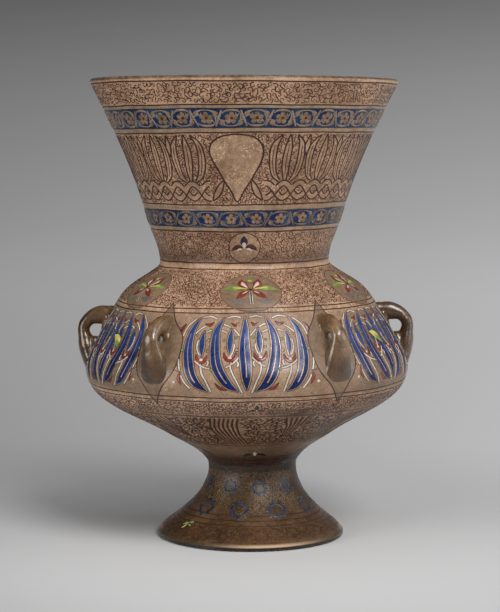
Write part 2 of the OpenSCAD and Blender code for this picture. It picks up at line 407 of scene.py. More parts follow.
def stroke(*points, step=FINE):
    return smooth_line(points, step)


def arc(x, y, r, start, end, w):
    """A bow round (x, y) between two angles in degrees."""
    count = max(5, round(abs(math.radians(end - start)) * r / FINE) + 1)
    a = np.radians(np.linspace(start, end, count))
    return np.column_stack([x + r * np.cos(a), y + r * np.sin(a), np.full(count, w)])


def dot(x, y, r):
    t = np.array([-1, -0.8, -0.4, 0, 0.4, 0.8, 1])
    return np.column_stack([x + r * t, np.full(len(t), y), r * np.sqrt(1 - t * t)])


def mirrored(strokes):
    return list(strokes) + [s * (-1, 1, 1) for s in strokes]


def moved(strokes, x, y=0.0):
    return [s + (x, y, 0) for s in strokes]


def repeated(strokes, count, r_ref, start=0.0):
    """A drawing in equal steps round the lamp."""
    step = 2 * math.pi * r_ref / count
    return [s for k in range(count) for s in moved(strokes, start + k * step)]


def hoop(r_ref, y, w):
    """A line once round the lamp."""
    x = np.linspace(0, 2 * math.pi * r_ref, ROUND + 1)
    return np.column_stack([x, np.full(len(x), y), np.full(len(x), w)])


print("points in a dot and a small ring:", len(dot(0, 0, 1)), len(arc(0, 0, 5, 0, 360, 1)))

# %% [markdown]
# ## Outlines and cuts
# An outlined form is a stroke whose two edges are drawn with the pen. Where one
# form passes over another, the lower one is cut.

# %% Outlines and cuts
def edges(form, gap=0.0):
    """The closed outline of a stroke, a gap wider on both sides."""
    way = np.gradient(form[:, :2], axis=0)
    way /= np.linalg.norm(way, axis=1)[:, None]
    side = way[:, ::-1] * (-1, 1) * (form[:, 2] + gap)[:, None]
    tips = form[[0, -1], :2] + gap * np.array([-way[0], way[-1]])
    return np.vstack([tips[:1], form[:, :2] + side, tips[1:], (form[:, :2] - side)[::-1], tips[:1]])


def penned(shapes, w):
    """Closed shapes as pen strokes of one width."""
    return [np.column_stack([s, np.full(len(s), w)]) for s in shapes]


def inside(shape, points):
    """Which points lie in a closed shape."""
    x, y = points[:, :1], points[:, 1:2]
    x0, y0, x1, y1 = *shape[:-1].T, *shape[1:].T
    crosses = (y0 > y) != (y1 > y)
    at = x0 + (y - y0) * (x1 - x0) / np.where(y1 == y0, 1, y1 - y0)
    return (crosses & (x < at)).sum(1) % 2 == 1


def within(shapes, points):
    """Which points lie in any of the shapes."""
    found = np.zeros(len(points), bool)
    for shape in shapes:
        near = np.all((points > shape.min(0)) & (points < shape.max(0)), axis=1)
        found[near] |= inside(shape, points[near])
    return found


def cut(strokes, shapes):
    """Strokes without the stretches that run under other shapes."""
    kept = []
    for s in strokes:
        free = ~within(shapes, s[:, :2])
        for run in np.split(np.arange(len(s)), np.flatnonzero(np.diff(free)) + 1):
            if free[run[0]] and len(run) > 2:
                kept.append(s[run])
    return kept


print("points round a leaf:", len(edges(stroke((0, 0, 0.1), (0, 5, 1), (0, 10, 0.1)))))

# %% [markdown]
# ## Vermicelli
# Between the larger forms the gilder filled the ground with tiny red-brown hooks,
# like worms, drawn freehand and close together. One hook is a short pen stroke. It
# is copied on a jittered grid with its own turn and size each time, from a seeded
# generator, and left out wherever a form reserves the ground.

# %% Vermicelli
hand = np.random.default_rng(7)
HOOK = smooth_line([(1.75, -1.05), (1.2, -0.1), (0.75, 0.75), (-0.15, 0.95), (-0.85, 0.3), (-0.6, -0.55),
                    (0.1, -0.6)], 0.62)
HOOK_SPAN = 2.55


def vermicelli(r_ref, low, high, bare, grid, w):
    """Little hooks all round the lamp between two heights, clear of the bare shapes."""
    width = 2 * math.pi * r_ref
    columns, rows = round(width / grid), max(1, round((high - low) / (0.87 * grid)))
    row, column = np.divmod(np.arange(rows * columns), columns)
    at = np.column_stack([(column + 0.5 * (row % 2)) * width / columns,
                          low + (row + 0.5) * (high - low) / rows])
    at += hand.uniform(-0.2, 0.2, at.shape) * grid
    at = at[~within(bare, at)]
    turn = hand.uniform(0, 2 * math.pi, len(at))
    size = hand.uniform(0.75, 1.1, len(at)) * grid / HOOK_SPAN
    flip = hand.choice([-1, 1], len(at))
    strokes = []
    for (x, y), a, k, f in zip(at, turn, size, flip):
        px, py = HOOK[:, 0] * k * f, HOOK[:, 1] * k
        strokes.append(np.column_stack([x + px * math.cos(a) - py * math.sin(a),
                                        np.clip(y + px * math.sin(a) + py * math.cos(a), low, high),
                                        w * np.linspace(1.25, 0.7, len(HOOK))]))
    return strokes


print("a hook has", len(HOOK), "points")

# %% [markdown]
# ## Rim band
# Under the rim runs a band of vermicelli between two lines. A line is one hoop
# stroke at a height, and the vermicelli fills the run between two heights, so both
# follow the flare of the neck by themselves.

# %% Rim band
pieces = {}


def lay(name, strokes, profile, r_ref, low, level=0.05, relief=0.2):
    """Enamel that waits under its name for its finish."""
    pieces[name] = enamel(name, strokes, profile, r_ref, low, level, relief)


def fill(name, low, tall, r_mid, margin, bare=(), grid=3.3, w=0.27):
    """A band full of vermicelli, with a margin at both edges."""
    lay(name, vermicelli(r_mid, margin, tall - margin, bare, grid, w), PEN, r_mid, low)


def rule_lines(name, heights, w=0.44, level=0.05, relief=0.2):
    """Lines once round the lamp at these heights, joined to one piece."""
    made = []
    for z in heights:
        low = along_at(z)
        r = radius_at(low)
        made.append(enamel(f"{name}_{z:.0f}", [hoop(r, 0, w)], PEN, r, low, level, relief))
    work_on(*made)
    bpy.ops.object.join()
    made[0].name = name
    pieces[name] = made[0]


def band(z_low, z_high):
    """Run at the low edge, height along the glass and middle radius of a band."""
    low, high = along_at(z_low), along_at(z_high)
    return low, high - low, radius_at((low + high) / 2)


rule_lines("lines_neck", [336.0, 319.9, 300.8, 250.2, 230.9, 208.0], 0.52)
low, tall, r_mid = band(320.8, 335.4)
fill("vermicelli_rim", low, tall, r_mid, 0.6, (), 3.9, 0.36)

# %% [markdown]
# ## Blue scroll bands
# Two bands of cobalt ring the neck. A pale vine loops along each, and every loop
# holds a small rosette. Two loops, one hanging and one standing, are drawn once and
# repeated round the neck. Under the vine lies a dark copy of it, a little wider,
# which outlines it as the pen did.

# %% Blue scroll bands
def scroll_pair(pitch, half):
    """Two loops of the vine, one hanging and one standing: pale strokes, petals and hearts."""
    vine, petals, hearts = [], [], []
    a = np.radians(np.linspace(-150, 168, 34))
    circle = np.column_stack([np.cos(a), np.sin(a)])
    loop = np.sign(circle) * np.abs(circle) ** 0.7
    for side, x in ((1, 0.5 * pitch), (-1, 1.5 * pitch)):
        ring = loop * (0.38 * pitch, 0.84 * half * side) + (x, 0)
        vine.append(np.column_stack([ring, 0.55 + 0.22 * np.sin(3 * a)]))
        petals += [dot(x + 0.42 * half * math.cos(b), 0.42 * half * math.sin(b), 0.24 * half)
                   for b in np.radians(np.arange(15, 375, 72))]
        petals.append(dot(x, 0, 0.3 * half))
        hearts.append(dot(x + 0.05 * half, 0.03 * half, 0.16 * half))
        gap = x + 0.5 * pitch
        vine.append(stroke((gap - 0.14 * pitch, -0.86 * half * side, 0.5), (gap, 0, 0.75),
                           (gap + 0.14 * pitch, 0.86 * half * side, 0.5)))
        for tip in (-1, 1):
            out, lean = tip * pitch, -tip * side * half
            petals.append(dot(gap + 0.11 * out, 0.5 * lean, 0.24 * half))
            vine.append(stroke((gap + 0.02 * out, 0.16 * lean, 0.3), (gap + 0.17 * out, 0.3 * lean, 0.6),
                               (gap + 0.15 * out, 0.84 * lean, 0.25)))
            vine.append(stroke((x + 0.3 * out, 0.5 * lean, 0.25), (x + 0.22 * out, 0.2 * lean, 0.55),
                               (x + 0.16 * out, 0.6 * lean, 0.2)))
    return vine, petals, hearts


def scroll_band(name, z_low, z_high, pairs, weight):
    """One blue band and its vine, all round the neck."""
    low, tall, r_mid = band(z_low, z_high)
    half = tall / 2
    centre = low + half
    vine, petals, hearts = scroll_pair(math.pi * r_mid / pairs, half)
    vine = [s * (1, 1, weight) for s in vine]
    under = [s + (0, 0, 0.3) for s in vine + petals]
    edge = [hoop(r_mid, side * (half + 0.1), 0.42) for side in (-1, 1)]
    lay(f"{name}_cobalt", [hoop(r_mid, 0, half)], SHEET, r_mid, centre, 0.04, 0.02)
    lay(f"{name}_edges", edge, PEN, r_mid, centre, 0.08, 0.5)
    for part, strokes, level, relief in (("shade", under, 0.12, 0.04), ("vine", vine, 0.17, 0.5),
                                         ("flowers", petals, 0.2, 0.12), ("hearts", hearts, 0.5, 0.2)):
        lay(f"{name}_{part}", repeated(strokes, pairs, r_mid), PEN, r_mid, centre, level, relief)


scroll_band("upper_scroll", 304.3, 317.2, 18, 1.15)
scroll_band("lower_scroll", 234.3, 245.8, 13, 0.95)
rule_lines("gold_stripes", [302.5, 318.6, 248.1, 232.6], 1.0, 0.03, 0.06)

# %% [markdown]
# ## Neck frieze
# Groups of tall pointed leaves stand over a plaited strap, all left in plain gold
# and drawn round with a dark pen on a vermicelli ground. A drop-shaped medallion
# breaks the row three times. Only one third of the frieze is drawn.

# %% Neck leaves
THIRD = 3
NECK_TURN = math.radians(-3.4)
low, tall, r_mid = band(250.4, 300.2)
third = 2 * math.pi * r_mid / THIRD
unit = 27.0
unit_x = third / 2 + unit * (np.arange(5) - 2)
spear = stroke((0, 17.0, 0.6), (0, 24, 2.0), (0, 33, 2.7), (0, 42, 2.3), (0, 52.4, 0.1))
bow_leaf = stroke((3.2, 16.6, 0.4), (7.4, 21.0, 1.6), (9.8, 29.0, 2.2), (10.2, 38.0, 2.1),
                  (8.6, 46.0, 1.6), (5.0, 52.0, 0.1))
between = stroke((13.5, 37.0, 0.1), (13.5, 42.0, 1.7), (13.5, 46.0, 1.5), (13.5, 52.0, 0.1))
tip_leaf = stroke((18.8, 3.4, 0.2), (15.6, 7.6, 1.9), (12.2, 13.6, 1.7), (9.6, 18.4, 0.1))
palmette = [spear] + mirrored([bow_leaf])
ribs = [stroke((0, 23, 0.3), (0, 34, 0.34), (0, 45, 0.2))]
ribs += mirrored([bow_leaf[6:-8] * (1, 1, 0) + (0, 0, 0.3)])
row = [s for x in unit_x for s in moved(palmette, x)]
row += [s for x in unit_x[:-1] for s in moved([between], x)]
row += [tip_leaf, tip_leaf * (-1, 1, 1) + (third, 0, 0)]
drop_side = [(5.6, 11.5), (11.6, 22), (16.4, 31.5), (18.3, 39), (16.6, 45.5), (11.5, 50.2), (4.5, 52.4)]
drop = smooth_line([(0, 2.2), *drop_side, *((-x, y) for x, y in reversed(drop_side))], 1.5, True)
print(len(row), "leaves in a third of the neck, drop of", len(drop), "points")

# %% [markdown]
# ## Plait
# Two straps swing past each other along the foot of the leaves. The plait goes over
# and under: where one strap passes below, its two edges are cut.

# %% Plait and neck outlines
PEN_W = 0.56
run_x = np.linspace(unit_x[0] - unit / 2 - 1, unit_x[-1] + unit / 2 + 1, 200)
swing = 5.4 * np.cos(2 * math.pi * (run_x - unit_x[0]) / unit)
plait = [np.column_stack([run_x, 10.2 + side * swing, np.full(len(run_x), 2.1)]) for side in (1, -1)]
phase = (run_x - unit_x[0]) / unit * 2 + 0.5
over = [[part for k in range(-3, 14) if k % 2 == layer
         for part in [strap[(phase >= k - 0.05) & (phase <= k + 1.05)]] if len(part) > 3]
        for layer, strap in enumerate(plait)]
plait_pen = []
for layer, strap in enumerate(plait):
    shape = edges(strap)
    count = len(strap)
    lines = penned([shape[1: count + 1], shape[count + 2: -1]], PEN_W)
    plait_pen += cut(lines, [edges(part, 0.3) for part in over[1 - layer]])
leaf_pen = cut(penned([edges(s, 0.2) for s in row], PEN_W), [edges(s, 0.4) for s in plait] + [drop])
rib_pen = [s for x in unit_x for s in moved(ribs, x)]
neck_pen = leaf_pen + plait_pen + penned([drop], PEN_W * 1.1) + rib_pen
neck_bare = [edges(s, 0.9) for s in row + plait] + [drop * 1.04 - (0, 1)]
turn_x = NECK_TURN * r_mid
everywhere = [shape + (turn_x + k * third, 0) for shape in neck_bare for k in range(-1, THIRD + 1)]
lay("neck_outlines", repeated(neck_pen, THIRD, r_mid, turn_x), PEN, r_mid, low, 0.05, 0.3)
fill("vermicelli_neck", low, tall, r_mid, 0.8, everywhere, 3.2, 0.32)

# %% [markdown]
# ## Lower neck
# A narrower band of vermicelli carries three round medallions. Each holds a
# trefoil bud: a dark blue petal above, two dark red ones beside it, cream inside.
# One bud is drawn as a few brush strokes and repeated.

# %% Lower neck
low, tall, r_mid = band(208.9, 230.7)
bud_y = along_at(219.5) - low
medallion = arc(0, bud_y, 11.4, 0, 360, 0.34)
bud_top = stroke((0, 0.6, 0.5), (0, 3.4, 2.5), (0, 6.4, 2.2), (0, 9.0, 0.1))
bud_side = stroke((0.8, -0.4, 0.4), (3.8, 0.6, 1.7), (7.0, -0.6, 1.5), (9.2, -2.6, 0.1))
bud_core = stroke((0, -1.0, 0.3), (0, 1.6, 1.3), (0, 4.2, 0.8), (0, 5.6, 0.1))
bud_cheek = stroke((1.2, -1.2, 0.3), (3.6, -1.5, 0.9), (5.4, -2.6, 0.1))
for name, strokes, profile, level, relief in [
        ("medallion_rings", [medallion - (0, bud_y, 0)], PEN, 0.05, 0.3),
        ("bud_navy", [bud_top], BRUSH, 0.02, 0.16),
        ("bud_red", mirrored([bud_side]), BRUSH, 0.02, 0.16),
        ("bud_cream", [bud_core] + mirrored([bud_cheek]), BRUSH, 0.3, 0.16)]:
    lay(name, repeated(moved(strokes, 0, bud_y), THIRD, r_mid), profile, r_mid, low, level, relief)
bare = [medallion[:, :2] + (k * 2 * math.pi * r_mid / THIRD, 0) for k in range(THIRD + 1)]
fill("vermicelli_throat", low, tall, r_mid, 0.8, bare)

# %% [markdown]
# ## Shoulder
# Six oval reserves on the shoulder hold a lotus each: red-edged petals with a pale
# heart, green and yellow leaves to both sides, a yellow bud and a blue stem. First
# come its strokes, of which only the right half is drawn.

# %% Lotus strokes
low, tall, r_mid = band(179.0, 203.2)
lotus_y = along_at(189.9) - low
OVAL_X, OVAL_Y = 20.9, 18.4
oval_x = np.linspace(-OVAL_X, OVAL_X, 31)
oval_half = OVAL_Y * np.sqrt(np.maximum(0, 1 - (oval_x / OVAL_X) ** 2))
oval_form = np.column_stack([oval_x, 0 * oval_x, oval_half])
oval = edges(oval_form)[1:-1]
SOFT = 0.8
petal_up = stroke((1.2, 1.0, 0.5), (3.4, 4.0, 2.0), (5.4, 7.4, 3.5), (6.0, 10.2, 2.4), (6.2, 13.4, 0.1),
                  step=SOFT)
petal_low = stroke((1.5, -0.7, 0.5), (4.4, -2.6, 2.1), (7.0, -5.0, 2.2), (10.2, -8.0, 0.1), step=SOFT)
heart_up = stroke((2.0, 2.2, 0.2), (3.8, 4.8, 0.9), (5.3, 7.4, 1.5), (5.6, 9.6, 0.1), step=SOFT)
heart_low = stroke((2.2, -1.3, 0.2), (4.2, -2.5, 0.7), (6.0, -3.8, 0.1), step=SOFT)
leaf_green = stroke((3.0, 1.4, 0.3), (7.0, 2.4, 1.7), (11.5, 2.6, 2.6), (16.0, 1.6, 1.4), (19.4, 0.4, 0.1),
                    step=SOFT)
leaf_yellow = stroke((2.4, 1.2, 0.3), (6.0, 2.0, 0.8), (10.0, 2.7, 0.6), (13.0, 3.0, 0.1), step=SOFT)
bud_yellow = stroke((-1.8, 10.6, 0.3), (0, 10.8, 1.0), (1.8, 10.6, 0.3), step=0.6)
bud_cap = arc(0, 10.6, 2.7, 10, 170, 0.6)
stem = stroke((0, -2.0, 0.5), (0, -7.0, 0.45), (0.1, -12.6, 0.4))
stem_pale = stroke((0, -1.8, 0.9), (0, -7.0, 1.0), (0.1, -13.0, 0.8))
# The grey-blue smudge low in each oval paints the shade and reflection there.
shade_smudge = stroke((3.2, -9.0, 0.3), (8.4, -10.4, 2.4), (13.8, -8.0, 0.3))
print("shoulder", round(tall, 1), "mm along the glass, a lotus at", round(lotus_y, 1))

# %% [markdown]
# ## Lotus row
# Each colour is laid a little higher than the one below it, as enamel is. The row
# is turned a few degrees against the neck, as on the real lamp, and so is all that
# stands in sixes below it.

# %% Lotus row
SIX = 6
ASIDE = math.radians(3.2)


def round_lamp(name, strokes, y, profile, r_ref, low, level, relief):
    """A drawing in its six places round the lamp."""
    lay(name, repeated(moved(strokes, 0, y), SIX, r_ref, ASIDE * r_ref), profile, r_ref, low, level, relief)


def six_shapes(shapes, y, r_ref):
    """Closed shapes in the same six places, and the first place once more."""
    return [s + (k * 2 * math.pi * r_ref / SIX + ASIDE * r_ref, y) for s in shapes for k in range(SIX + 1)]


for name, strokes, profile, level, relief in [
        ("oval_grounds", [oval_form], SHEET, 0.08, 0.0),
        ("oval_lines", penned([oval], 0.34), PEN, 0.12, 0.3),
        ("lotus_red", mirrored([petal_up, petal_low]), BRUSH, 0.24, 0.07),
        ("lotus_cream", mirrored([heart_up, heart_low]) + [stem_pale], BRUSH, 0.5, 0.07),
        ("lotus_green", mirrored([leaf_green]) + [bud_cap], BRUSH, 0.2, 0.08),
        ("lotus_yellow", mirrored([leaf_yellow]) + [bud_yellow], BRUSH, 0.44, 0.1),
        ("lotus_blue", [stem, dot(0, 0.4, 0.9)], BRUSH, 0.62, 0.2),
        ("lotus_shade", mirrored([shade_smudge]), BRUSH, 0.18, 0.02)]:
    round_lamp(name, strokes, lotus_y, profile, r_mid, low, level, relief)
fill("vermicelli_shoulder", low, tall, r_mid, 0.8, six_shapes([oval * 1.02], lotus_y, r_mid), 2.7, 0.25)
rule_lines("lines_bowl", [203.4, 178.3, 175.3, 118.8, 115.8, 104.0])

# %% [markdown]
# ## Bowl frieze
# The widest band is the showpiece. A pointed reserve of bare glass surrounds each
# handle, and the drawing stands in the fields between them. The fields aren't
# equally wide, so one field is drawn and then squeezed to fit the others.

# %% Reserves and fields
low, tall, r_mid = band(119.5, 174.0)
lens_sides = [(0, 112.6), (7.5, 126), (12.5, 133), (16.2, 141), (17.6, 149), (17.8, 155), (16.6, 160.5),
              (12.6, 165.5), (8.6, 169.5), (4.0, 176), (0, 182)]
lens = smooth_line([(0, along_at(z) - low, half) for half, z in lens_sides], 1.4)
LENS_TURN = 2 * lens[:, 2].max() / r_mid
FULL = 1.1
sides = np.sort([(a + 1.5 * math.pi) % (2 * math.pi) - math.pi for a in eye_turns])
spans = np.diff(np.append(sides, sides[0] + 2 * math.pi))
widest = spans.max() - LENS_TURN
fields = [(side + span / 2, FULL * (span - LENS_TURN) / widest) for side, span in zip(sides, spans)]
lenses = [lens + (a * r_mid, 0, 0) for a in sides]
lens_shapes = [edges(s) + (2 * math.pi * r_mid * k, 0) for s in lenses for k in (-1, 0, 1)]
print("fields, degrees and squeeze:", [(round(math.degrees(centre)), round(by, 2)) for centre, by in fields])

# %% [markdown]
# ## Leaves of the bowl
# A tree of tall cobalt leaves, the same on both sides of its middle, fills a field.
# A pale gold edge and a fine pen line follow each blue leaf.

# %% Bowl leaves
tall_leaf = stroke((0, 5.0, 0.2), (0, 13, 2.6), (0, 25, 3.4), (0, 38, 3.2), (0, 50, 2.0), (0, 59, 0.1))
near_leaf = stroke((5.4, 4.4, 0.2), (10.4, 8.0, 2.2), (15.6, 16, 3.1), (18.8, 27, 3.3), (19.8, 39, 2.8),
                   (18.4, 50, 1.8), (14.6, 58.4, 0.1))
far_leaf = stroke((24.0, 4.2, 0.2), (29.0, 8.0, 2.1), (34.0, 16, 3.0), (37.0, 27, 3.1), (37.6, 39, 2.7),
                  (36.0, 50, 1.7), (32.0, 58.2, 0.1))
bud_in = stroke((9.4, 31, 0.1), (9.7, 37, 1.6), (9.5, 43, 1.8), (8.9, 50, 0.1))
bud_out = stroke((28.2, 29, 0.1), (28.6, 35, 1.6), (28.4, 41, 1.8), (27.6, 48.6, 0.1))
leaves = [tall_leaf] + mirrored([near_leaf, far_leaf])
cobalt = leaves + mirrored([bud_in, bud_out])
gold_edge = [s + (0, 0, 0.45) for s in cobalt]
veins = [np.insert(s[8:-12, :2], 2, np.linspace(0.42, 0.16, len(s) - 20), axis=1) for s in leaves]
print(len(leaves), "blue leaves and", len(cobalt) - len(leaves), "buds in a field")

# %% [markdown]
# ## Vines of the bowl
# Behind the leaves wind raised cream vines with red half-leaves, buds, green dots
# and little ring rosettes.

# %% Bowl vines
THREAD = 0.55
vine_lines = [
    [(2.8, 3.2), (5.6, 10), (8.6, 17), (9.4, 23), (7.0, 26.6), (4.6, 24.4), (5.4, 21.6)],
    [(21.6, 3.6), (24.4, 11), (27.4, 18), (28.0, 24), (25.6, 27), (23.4, 24.8), (24.2, 22)],
    [(34.6, 58.0), (40.6, 51.5), (43.4, 42), (43.6, 31), (42.0, 20), (38.6, 11.5), (34.0, 5.6)],
    [(3.0, 58.6), (7.6, 59.6), (12.4, 58.4)], [(19.6, 57.8), (25, 59.6), (30, 58.6)]]
vines = [np.insert(smooth_line(line, FINE), 2, THREAD, axis=1) for line in vine_lines]
vines = mirrored(vines + [arc(19.3, 37.0, r, 0, 360, THREAD) for r in (17.2, 12.4)])
buds = mirrored([dot(9.5, 28.4, 1.3), dot(28.4, 26.4, 1.2), dot(44.4, 9.6, 1.0)])
reds = mirrored([
    stroke((5.6, 32.4, 0.2), (6.6, 28.4, 1.1), (9.6, 26.6, 1.5), (12.4, 28.6, 1.1), (13.4, 32.6, 0.2)),
    stroke((24.8, 30.4, 0.2), (25.6, 26.6, 1.0), (28.4, 24.8, 1.4), (31.0, 26.8, 1.0), (32.0, 30.6, 0.2)),
    stroke((21.6, 55.2, 0.2), (24.4, 53.0, 1.1), (27.8, 54.0, 0.1)),
    stroke((4.2, 54.8, 0.2), (6.6, 52.6, 0.9), (9.4, 54.6, 0.1)),
    stroke((42.2, 53.4, 0.2), (44.6, 49.4, 1.1), (45.0, 45.0, 0.1)),
    stroke((12.0, 5.2, 0.2), (15.6, 6.2, 0.9), (19.0, 10.0, 0.1)),
    stroke((39.4, 8.4, 0.2), (41.4, 12.4, 1.0), (41.0, 17.4, 0.1))])
greens = mirrored([dot(x, y, r) for x, y, r in [
    (5.6, 43.4, 0.9), (13.8, 41.6, 0.9), (24.2, 41.6, 1.0), (41.6, 33.6, 1.2), (32.6, 45.4, 0.8),
    (21.0, 19.4, 0.9)]])
rosettes = mirrored([arc(x, y, r, 0, 360, w) for x, y, r, w in [
    (43.0, 19.6, 2.0, 0.26), (5.2, 34.4, 1.4, 0.24), (23.9, 33.4, 1.5, 0.24), (41.4, 38.8, 1.4, 0.24),
    (12.8, 36.0, 1.0, 0.24)]])
print("in a field:", len(vines), "vines,", len(reds), "red leaves,", len(greens), "dots,", len(rosettes), "rings")

# %% [markdown]
# ## The bowl, laid on
# A vine is cut where it runs behind a leaf, and every drawing where it would run
# into a reserve. Last come the reserves and three bright leaves out of the row.

# %% Bowl enamels
vine_cut = cut(vines, [edges(s, 0.75) for s in cobalt] + [edges(s, 0.3) for s in reds])
outlines = penned([edges(s, 0.66) for s in cobalt], 0.22) + penned([edges(s, 0.2) for s in vine_cut], 0.17)
fine = cut(outlines + rosettes, [edges(s, 0.45) for s in cobalt])
fine += penned([edges(s, 0.12) for s in reds + greens], 0.17)
for name, strokes, profile, level, relief in [
        ("bowl_gold_edge", gold_edge, BRUSH, 0.03, 0.03), ("bowl_cobalt", cobalt, BRUSH, 0.09, 0.1),
        ("bowl_veins", veins, PEN, 0.45, 0.2), ("bowl_cream", vine_cut + buds, PEN, 0.0, 0.6),
        ("bowl_red", reds, BRUSH, 0.0, 0.2), ("bowl_green", greens, BRUSH, 0.0, 0.3),
        ("bowl_pen", fine, PEN, 0.06, 0.3)]:
    drawn = [s * (squeeze, 1, 1) + (centre * r_mid, 0, 0) for centre, squeeze in fields for s in strokes]
    lay(name, cut(drawn, lens_shapes), profile, r_mid, low, level, relief)
lay("reserve_grounds", lenses, SHEET, r_mid, low, 0.08, 0.0)
lay("reserves", penned([edges(s) for s in lenses], 0.42), PEN, r_mid, low, 0.12, 0.3)

accent_y = along_at(153) - low
accent_leaf = stroke((-6.4, 4.6, 0.2), (-2.4, 3.0, 2.4), (1.6, 0.4, 2.9), (4.6, -3.8, 0.2))
accent_tip = stroke((-1.0, 1.0, 0.2), (2.4, -1.8, 2.0), (5.4, -5.6, 0.1))
accent_x = [fields[k][0] * r_mid + aside for k, aside in ((1, 8.0), (3, -5.0), (5, 9.0))]
for name, leaf, level in (("accent_yellow", accent_leaf, 0.5), ("accent_green", accent_tip, 0.8)):
    lay(name, [leaf + (x, accent_y, 0) for x in accent_x], BRUSH, r_mid, low, level, 0.12)

# %% [markdown]
# ## Lower bowl
# Under the belly comes a narrow band of vermicelli with small buds, then a broad
# band of fans: bundles of curved parallel lines that meet below, with hooks
# between them.

# %% Knee and fans
low, tall, r_mid = band(104.6, 115.2)
small_y = along_at(108.8) - low
knee = [bud_top * 0.62, *mirrored([bud_side * 0.62])]
knee_core = [dot(0, 0.6, 0.6)] + mirrored([dot(1.9, -1.3, 0.45)])
round_lamp("knee_petals", knee[:1], small_y, BRUSH, r_mid, low, 0.05, 0.2)
round_lamp("knee_red", knee[1:], small_y, BRUSH, r_mid, low, 0.05, 0.2)
round_lamp("knee_cream", knee_core, small_y, BRUSH, r_mid, low, 0.35, 0.2)
bare = six_shapes([edges(s, 0.9) for s in knee], small_y, r_mid)
fill("vermicelli_knee", low, tall, r_mid, 0.7, bare, 3.1, 0.33)

low, tall, r_mid = band(76.3, 102.7)
fan = [stroke((-9.8 - 2.7 * k, tall - 1.2, 0.6), (-12.6 - 2.9 * k, 0.66 * tall, 0.7),
              (-12.0 - 3.0 * k, 0.33 * tall, 0.7), (-7.0 - 3.2 * k, 1.2, 0.5)) for k in range(7)]
fan += [stroke((17.2 + 3.2 * k, tall - 1.2, 0.6), (20.4 + 2.3 * k, 0.66 * tall, 0.7),
               (22.6 + 1.4 * k, 0.24 * tall, 0.5)) for k in range(5)]
bundles = [np.array([(-5.6, 0), (-8, tall), (-28, tall), (-32, 0.4 * tall), (-28.4, 0), (-5.6, 0)]),
           np.array([(22.0, 0.33 * tall), (15.6, tall), (31, tall), (29, 0.33 * tall), (22.0, 0.33 * tall)])]
round_lamp("fan_lines", fan, 0, PEN, r_mid, low, 0.05, 0.3)
fill("vermicelli_fans", low, tall, r_mid, 1, six_shapes(bundles, 0, r_mid), 4.3, 0.56)
rule_lines("lines_low", [103.2, 75.6, 63.6, 60.0, 56.9])

# %% [markdown]
# ## Waist
# Small buds ring the glass above the seam, and below it a few blots of dark green
# are all that is left of another row.

# %% Waist
low = along_at(66.5)
r_mid = radius_at(low)
round_lamp("waist_petals", mirrored([bud_side]), 0, BRUSH, r_mid, low, 0.05, 0.15)
round_lamp("waist_cream", [bud_core], 0, BRUSH, r_mid, low, 0.35, 0.15)
low = along_at(57.6)
r_mid = radius_at(low)
blot = stroke((-4.4, 1.4, 0.3), (-2.0, 0.2, 1.7), (1.4, -0.5, 2.3), (4.4, 0.8, 0.4))
blot_at = np.radians([-33, -6, 41, 103, 158, 214, 262])
lay("waist_blots", [blot + (a * r_mid, 0, 0) for a in blot_at], BRUSH, r_mid, low, 0.03, 0.1)

# %% [markdown]
# ## Foot
# The foot carries two rows of ten toothed rings in worn cobalt over vermicelli,
# three lines, one small sprig and a plain edge. A ring is a closed arc with eight
# dots for its teeth, drawn once for each row.

# %% Foot
TEN = 10


def toothed_ring(r, w):
    teeth = [dot(1.3 * r * math.cos(a), 1.3 * r * math.sin(a), 1.15 * w)
             for a in np.linspace(0, 2 * math.pi, 9)[:-1]]
    return [arc(0, 0, r, 0, 360, w)] + teeth


rings_at = []
for name, z, size, w, start in (("rings_high", 40.5, 4.1, 0.7, 8), ("rings_low", 25.3, 5.5, 0.92, -12)):
    low = along_at(z)
    r_mid = radius_at(low)
    shift = math.radians(start) * r_mid
    lay(name, repeated(toothed_ring(size, w), TEN, r_mid, shift), BRUSH, r_mid, low, 0.0, 0.25)
    rings_at.append((low, r_mid, shift, 1.5 * size))

low, tall, r_mid = band(22.4, 52.6)
bare = []
for run, r, shift, size in rings_at:
    scale = r_mid / r
    circle = arc(0, 0, size, 0, 360, 0)[:, :2] * (scale, 1)
    bare += [circle + (scale * shift + k * 2 * math.pi * r_mid / TEN, run - low) for k in range(-1, TEN + 2)]
fill("vermicelli_foot", low, tall, r_mid, 1, bare, 2.4, 0.26)
low, tall, r_mid = band(6.6, 15.0)
fill("vermicelli_edge", low, tall, r_mid, 0.8)

SPRIG_TURN = math.radians(-53)
low = along_at(13.5)
r_mid = radius_at(low)
sprig_leaves = [stroke((-4.6, -1.0, 0.3), (-2.4, 0.7, 1.3), (0.5, 0.9, 0.2)),
                stroke((0.2, 1.3, 0.2), (2.3, 2.7, 1.3), (4.9, 2.3, 0.2)),
                stroke((0.6, -0.2, 0.2), (2.6, -0.3, 0.9), (4.6, -1.3, 0.1))]
sprig_stem = [stroke((-0.4, 0.2, 0.2), (-1.4, -2.4, 0.8), (-2.8, -4.4, 0.2))]
for name, strokes in (("sprig_green", sprig_leaves), ("sprig_yellow", sprig_stem)):
    lay(name, moved(strokes, SPRIG_TURN * r_mid), BRUSH, r_mid, low, 0.05, 0.2)
rule_lines("lines_foot", [21.7, 18.7, 15.7])

# %% [markdown]
# ## Oil cup, float and wick
# A clear glass cup stands on the lamp's floor and holds water and oil. A cork
# disc floats in it with a small brass tube, and a cotton wick runs through the
# tube. These are turned too, apart from the wick, which is three twisted strands.

